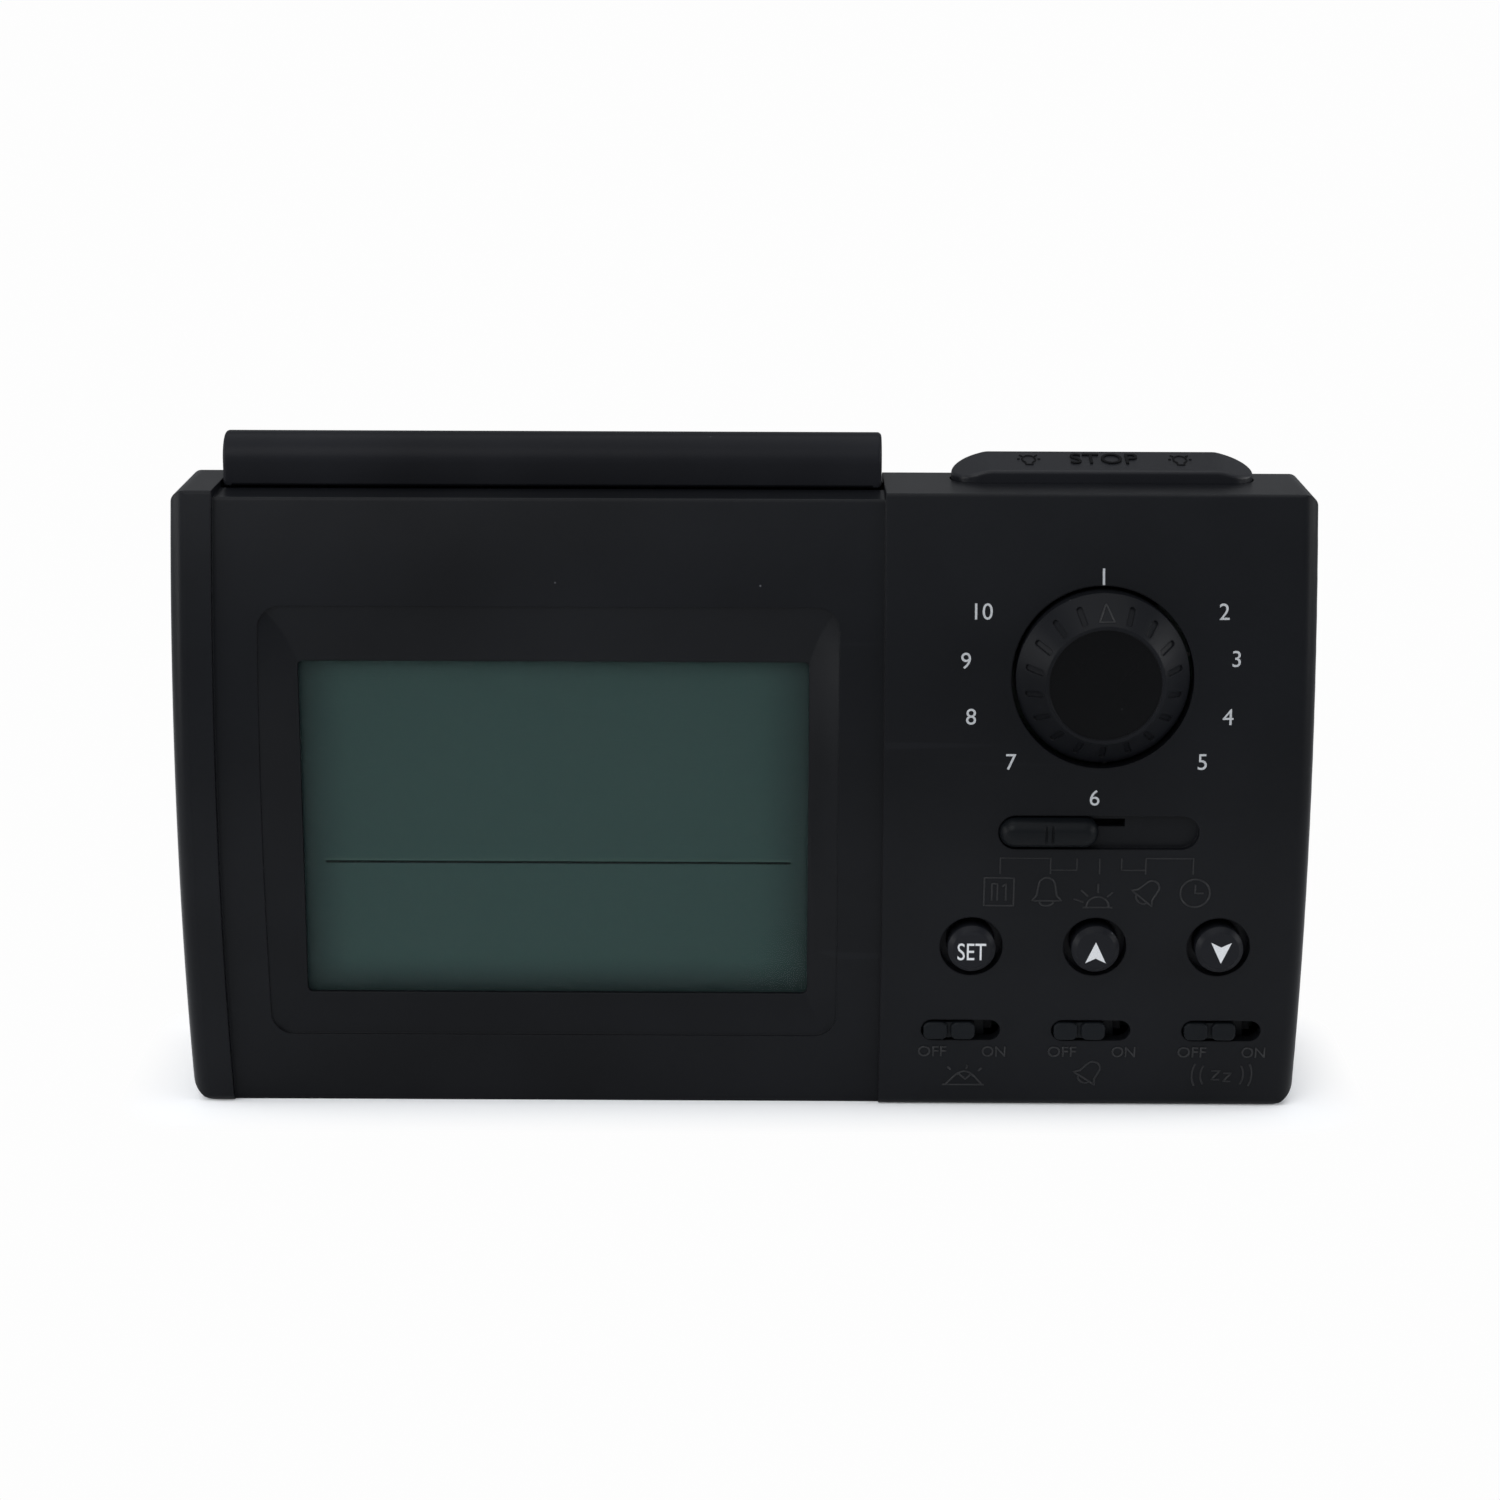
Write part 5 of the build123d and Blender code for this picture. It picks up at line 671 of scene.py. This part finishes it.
def relief(name, paths, lay, width=BEAD_WIDE, step=BEAD_STEP):
    """Raised moulded lines: one low rounded bead along each path, half sunk in the surface."""
    curve = bpy.data.curves.new(name, "CURVE")
    curve.dimensions = "3D"
    curve.bevel_depth = width / 2 * MM
    curve.bevel_resolution = BEAD_SMOOTH
    curve.use_fill_caps = True
    for path in paths:
        closed = path[0] == path[-1]
        points = dense(path, step)
        if closed:
            points = points[:-1]
        spline = curve.splines.new("POLY")
        spline.points.add(len(points) - 1)
        for point, (x, y) in zip(spline.points, points):
            point.co = (*lay(x, y, BEAD_SUNK), 1)
        spline.use_cyclic_u = closed
    mesh = drawn_mesh(name, curve)
    mesh.shade_smooth()
    return added(name, mesh)


def dense(path, step):
    """The path with more points, no further apart than the step."""
    points = [path[0]]
    for (x0, y0), (x1, y1) in zip(path, path[1:]):
        count = max(1, math.ceil(math.hypot(x1 - x0, y1 - y0) / step))
        points += [(x0 + (x1 - x0) * i / count, y0 + (y1 - y0) * i / count)
                   for i in range(1, count + 1)]
    return points


def arc(x, y, radius, start, end, count=16, squash=1.0):
    """Points along an arc, angles in degrees from +X."""
    return [(x + radius * math.cos(math.radians(start + (end - start) * i / count)),
             y + radius * squash * math.sin(math.radians(start + (end - start) * i / count)))
            for i in range(count + 1)]


def moved(paths, x, y, turn=0.0, scale=1.0):
    """Paths turned by an angle in degrees, scaled and moved."""
    c, s = math.cos(math.radians(turn)) * scale, math.sin(math.radians(turn)) * scale
    return [[(x + px * c - py * s, y + px * s + py * c) for px, py in path] for path in paths]


# --- the drawings, about their own middle --------------------------------------------------
CALENDAR = [[(-1.9, -1.9), (1.9, -1.9), (1.9, 1.9), (-1.9, 1.9), (-1.9, -1.9)],
            [(-0.9, -1.2), (-0.9, 1.1), (-0.2, 1.1), (-0.2, -1.2)],
            [(0.9, -1.2), (0.9, 1.1), (0.4, 0.7)]]
BELL = [[(-1.9, -1.2), (-1.3, -0.5), (-1.1, 0.7), *arc(0, 0.9, 1.05, 180, 0, 10),
         (1.1, 0.7), (1.3, -0.5), (1.9, -1.2), (-1.9, -1.2)],
        arc(0, -1.35, 0.9, 180, 360, 10, 0.6),
        [(-0.3, 1.95), (0.3, 1.95)]]
CLOCK = [arc(0, 0, 1.9, 90, 450, 28), [(0, 1.2), (0, 0), (1.1, 0)]]
SUNRISE = [[(-2.6, -1.2), (2.7, -1.2)],
           [(-2.2, -1.2), (-0.7, 0.5), (0.3, -0.4), (1.1, 0.4), (2.4, -1.2)],
           arc(0.2, -0.4, 1.15, 150, 20, 10),
           [(0.4, 1.1), (0.5, 1.7)], [(-1.6, 1.0), (-2.0, 1.4)], [(1.9, 0.8), (2.3, 1.2)]]
SNOOZE = [[(-1.1, 0.5), (-0.2, 0.5), (-1.1, -0.6), (-0.2, -0.6)],
          [(0.2, 0.2), (1.0, 0.2), (0.2, -0.8), (1.0, -0.8)],
          arc(0, 0, 2.3, 150, 210, 8), arc(0, 0, 3.2, 155, 205, 8),
          arc(0, 0, 2.3, -30, 30, 8), arc(0, 0, 3.2, -25, 25, 8)]
RAYS = [[(-2.0, -1.9), (2.2, -1.9)], arc(0.1, -1.9, 1.6, 180, 0, 14),
        [(0.1, 0.3), (0.1, 1.7)], [(-1.3, -0.2), (-2.3, 0.7)], [(-1.9, -1.1), (-3.3, -0.6)],
        [(1.4, -0.3), (2.2, 0.4)]]
BULB = [arc(0, 0.25, 0.85, -50, 230, 16),
        [(-0.5, -0.4), (-0.4, -1.0), (0.4, -1.0), (0.5, -0.4)],
        [(-1.5, 0.3), (-1.15, 0.3)], [(1.15, 0.3), (1.5, 0.3)],
        [(-1.1, 1.2), (-0.85, 0.95)], [(1.1, 1.2), (0.85, 0.95)]]
ARROW = [(0.0, 1.5), (1.45, -1.6), (0.0, -0.9), (-1.45, -1.6)]

# --- places and sizes of the marks ---------------------------------------------------------
NUMBER_HIGH = 2.25
NUMBER_PLACES = [(50.0, 78.9), (66.8, 74.2), (68.6, 67.7), (67.6, 59.6), (64.2, 53.2),
                 (49.3, 48.0), (37.5, 53.1), (31.8, 59.5), (31.0, 67.3), (33.4, 74.1)]
SET_SIZE = (4.05, 2.5)
MARK_DROP = 0.3                      # the marks sit below their buttons' middles
DOWN_SHIFT, DOWN_DROP = 0.2, 0.4     # the same for the down mark alone
MODE_ICONS = [(CALENDAR, 36.2, 34.1, 0.0, 1.1), (BELL, 42.95, 34.1, 0.0, 1.1),
              (RAYS, 50.1, 33.7, 0.0, 1.0), (BELL, 57.2, 34.1, -40.0, 1.0),
              (CLOCK, 63.9, 34.0, 0.0, 1.1)]                  # drawing, X, Z, turn, scale
MODE_TOP, MODE_MIDDLE, MODE_LOW = 39.15, 37.4, 36.8
MODE_LINES = [[(36.3, MODE_LOW), (36.3, MODE_TOP), (43.4, MODE_TOP), (43.4, MODE_LOW)],
              [(43.4, MODE_MIDDLE), (47.1, MODE_MIDDLE), (47.1, MODE_TOP)],
              [(50.3, MODE_LOW), (50.3, MODE_TOP)],
              [(53.4, MODE_TOP), (53.4, MODE_MIDDLE), (56.8, MODE_MIDDLE)],
              [(56.8, MODE_LOW), (56.8, MODE_TOP), (63.5, MODE_TOP), (63.5, MODE_LOW)]]
MODE_LINE_WIDE = 0.22
SWITCH_ICONS = {"left": (SUNRISE, 31.9, 4.85, 0.0, 1.15), "middle": (BELL, 50.1, 5.6, -35.0, 1.0),
                "right": (SNOOZE, 69.3, 5.3, 0.0, 1.35)}
SWITCH_WORDS = (("OFF", -4.0, 4.1), ("ON", 4.85, 3.4))        # word, shift, width
WORD_HIGH, WORD_Z, WORD_THICK = 1.7, 9.04, 0.12
STOP_SIZE, STOP_SHIFT, STOP_THICK = (9.6, 3.4), (0.3, 0.5), 0.2
BULB_SHIFTS = (-10.4, 11.1)
BULB_STRETCH = (1.1, 1.5)
BULB_BEAD = (0.34, 0.3)              # width and step
POINTER_FOOT, POINTER_TIP, POINTER_HALF = 8.8, 10.9, 1.05     # from the dial's middle
POINTER_BEAD = (0.26, 0.2)
LINE_LEFT, LINE_RIGHT, LINE_THICK = -59.9, 6.8, 0.02
LINES = (("display_line", 35.8, 36.2, "display_line"),        # name, bottom, top, ink
         ("display_line_edge", 36.25, 36.4, "display_edge"))


def add_numbers(materials):
    """Ten plain numbers round the dial."""
    lay = front_of("case_front")
    for index, place in enumerate(NUMBER_PLACES):
        piece = glyphs(f"dial_number_{index + 1}", str(index + 1), (None, NUMBER_HIGH), place, lay)
        finish_piece(piece, "case", materials["print_grey"])


def add_button_marks(materials):
    """White marks on the three push buttons."""
    mark_z = BUTTON_Z - MARK_DROP
    piece = glyphs("set_mark", "SET", SET_SIZE, (CONTROL_X - BUTTON_PITCH, mark_z),
                   front_of("set_button"))
    finish_piece(piece, "set_button", materials["print_white"])
    for name, x, z, sign in (("up", CONTROL_X, mark_z, 1),
                             ("down", CONTROL_X + BUTTON_PITCH + DOWN_SHIFT,
                              BUTTON_Z - DOWN_DROP, -1)):
        corners = [(x + px, z + sign * py) for px, py in ARROW]
        piece = plate(f"{name}_mark", corners, front_of(f"{name}_button"))
        finish_piece(piece, f"{name}_button", materials["print_white"])


def add_mode_marks(materials):
    """Moulded drawings and joining lines under the long slider."""
    lay = front_of("case_front")
    for index, icon in enumerate(MODE_ICONS):
        piece = relief(f"mode_icon_{index + 1}", moved(*icon), lay)
        finish_piece(piece, "case", materials["relief_black"])
    piece = relief("mode_lines", MODE_LINES, lay, MODE_LINE_WIDE)
    finish_piece(piece, "case", materials["relief_black"])


def add_switch_marks(materials):
    """OFF and ON in relief, and a drawing under each small switch."""
    lay = front_of("case_front")
    for index, (name, icon) in enumerate(SWITCH_ICONS.items()):
        x = CONTROL_X + (index - 1) * SWITCH_PITCH
        for word, shift, wide in SWITCH_WORDS:
            piece = glyphs(f"switch_{name}_{word.lower()}", word, (wide, WORD_HIGH),
                           (x + shift, WORD_Z), lay, WORD_THICK)
            finish_piece(piece, "case", materials["relief_black"])
        piece = relief(f"switch_{name}_icon", moved(*icon), lay)
        finish_piece(piece, "case", materials["relief_black"])


def add_top_marks(materials):
    """STOP and two small lamps in relief on the long button."""
    lay = top_of("top_button")
    centre = (TOP_BUTTON_X + STOP_SHIFT[0], TOP_BUTTON_Y + STOP_SHIFT[1])
    piece = glyphs("stop_mark", "STOP", STOP_SIZE, centre, lay, STOP_THICK)
    finish_piece(piece, "top_button", materials["relief_dark"])
    tall = [[(px * BULB_STRETCH[0], py * BULB_STRETCH[1]) for px, py in path] for path in BULB]
    for index, shift in enumerate(BULB_SHIFTS):
        piece = relief(f"stop_lamp_{index + 1}", moved(tall, TOP_BUTTON_X + shift, TOP_BUTTON_Y),
                       lay, *BULB_BEAD)
        finish_piece(piece, "top_button", materials["relief_dark"])


def add_dial_marks(materials):
    """Outlined pointer on the dial's slope."""
    foot, tip = DIAL_Z + POINTER_FOOT, DIAL_Z + POINTER_TIP
    left, right = CONTROL_X - POINTER_HALF, CONTROL_X + POINTER_HALF
    piece = relief("dial_pointer", [[(left, foot), (CONTROL_X, tip), (right, foot), (left, foot)]],
                   front_of("selector_dial"), *POINTER_BEAD)
    finish_piece(piece, "dial", materials["relief_black"])


def add_display_marks(materials):
    """Fixed dividing line on the display's glass."""
    lay = front_of("lcd_panel")
    for name, low, high, ink in LINES:
        corners = [(LINE_LEFT, low), (LINE_RIGHT, low), (LINE_RIGHT, high), (LINE_LEFT, high)]
        finish_piece(plate(name, corners, lay, LINE_THICK), "case",
                     materials[ink])


make_camera()
make_studio()
MATERIALS = make_materials()
dress_nodes(MATERIALS)
for add_marks in (add_numbers, add_button_marks, add_mode_marks, add_switch_marks, add_top_marks,
                  add_dial_marks, add_display_marks):
    add_marks(MATERIALS)

bpy.context.scene.view_settings.view_transform = "Standard"
bpy.context.view_layer.update()
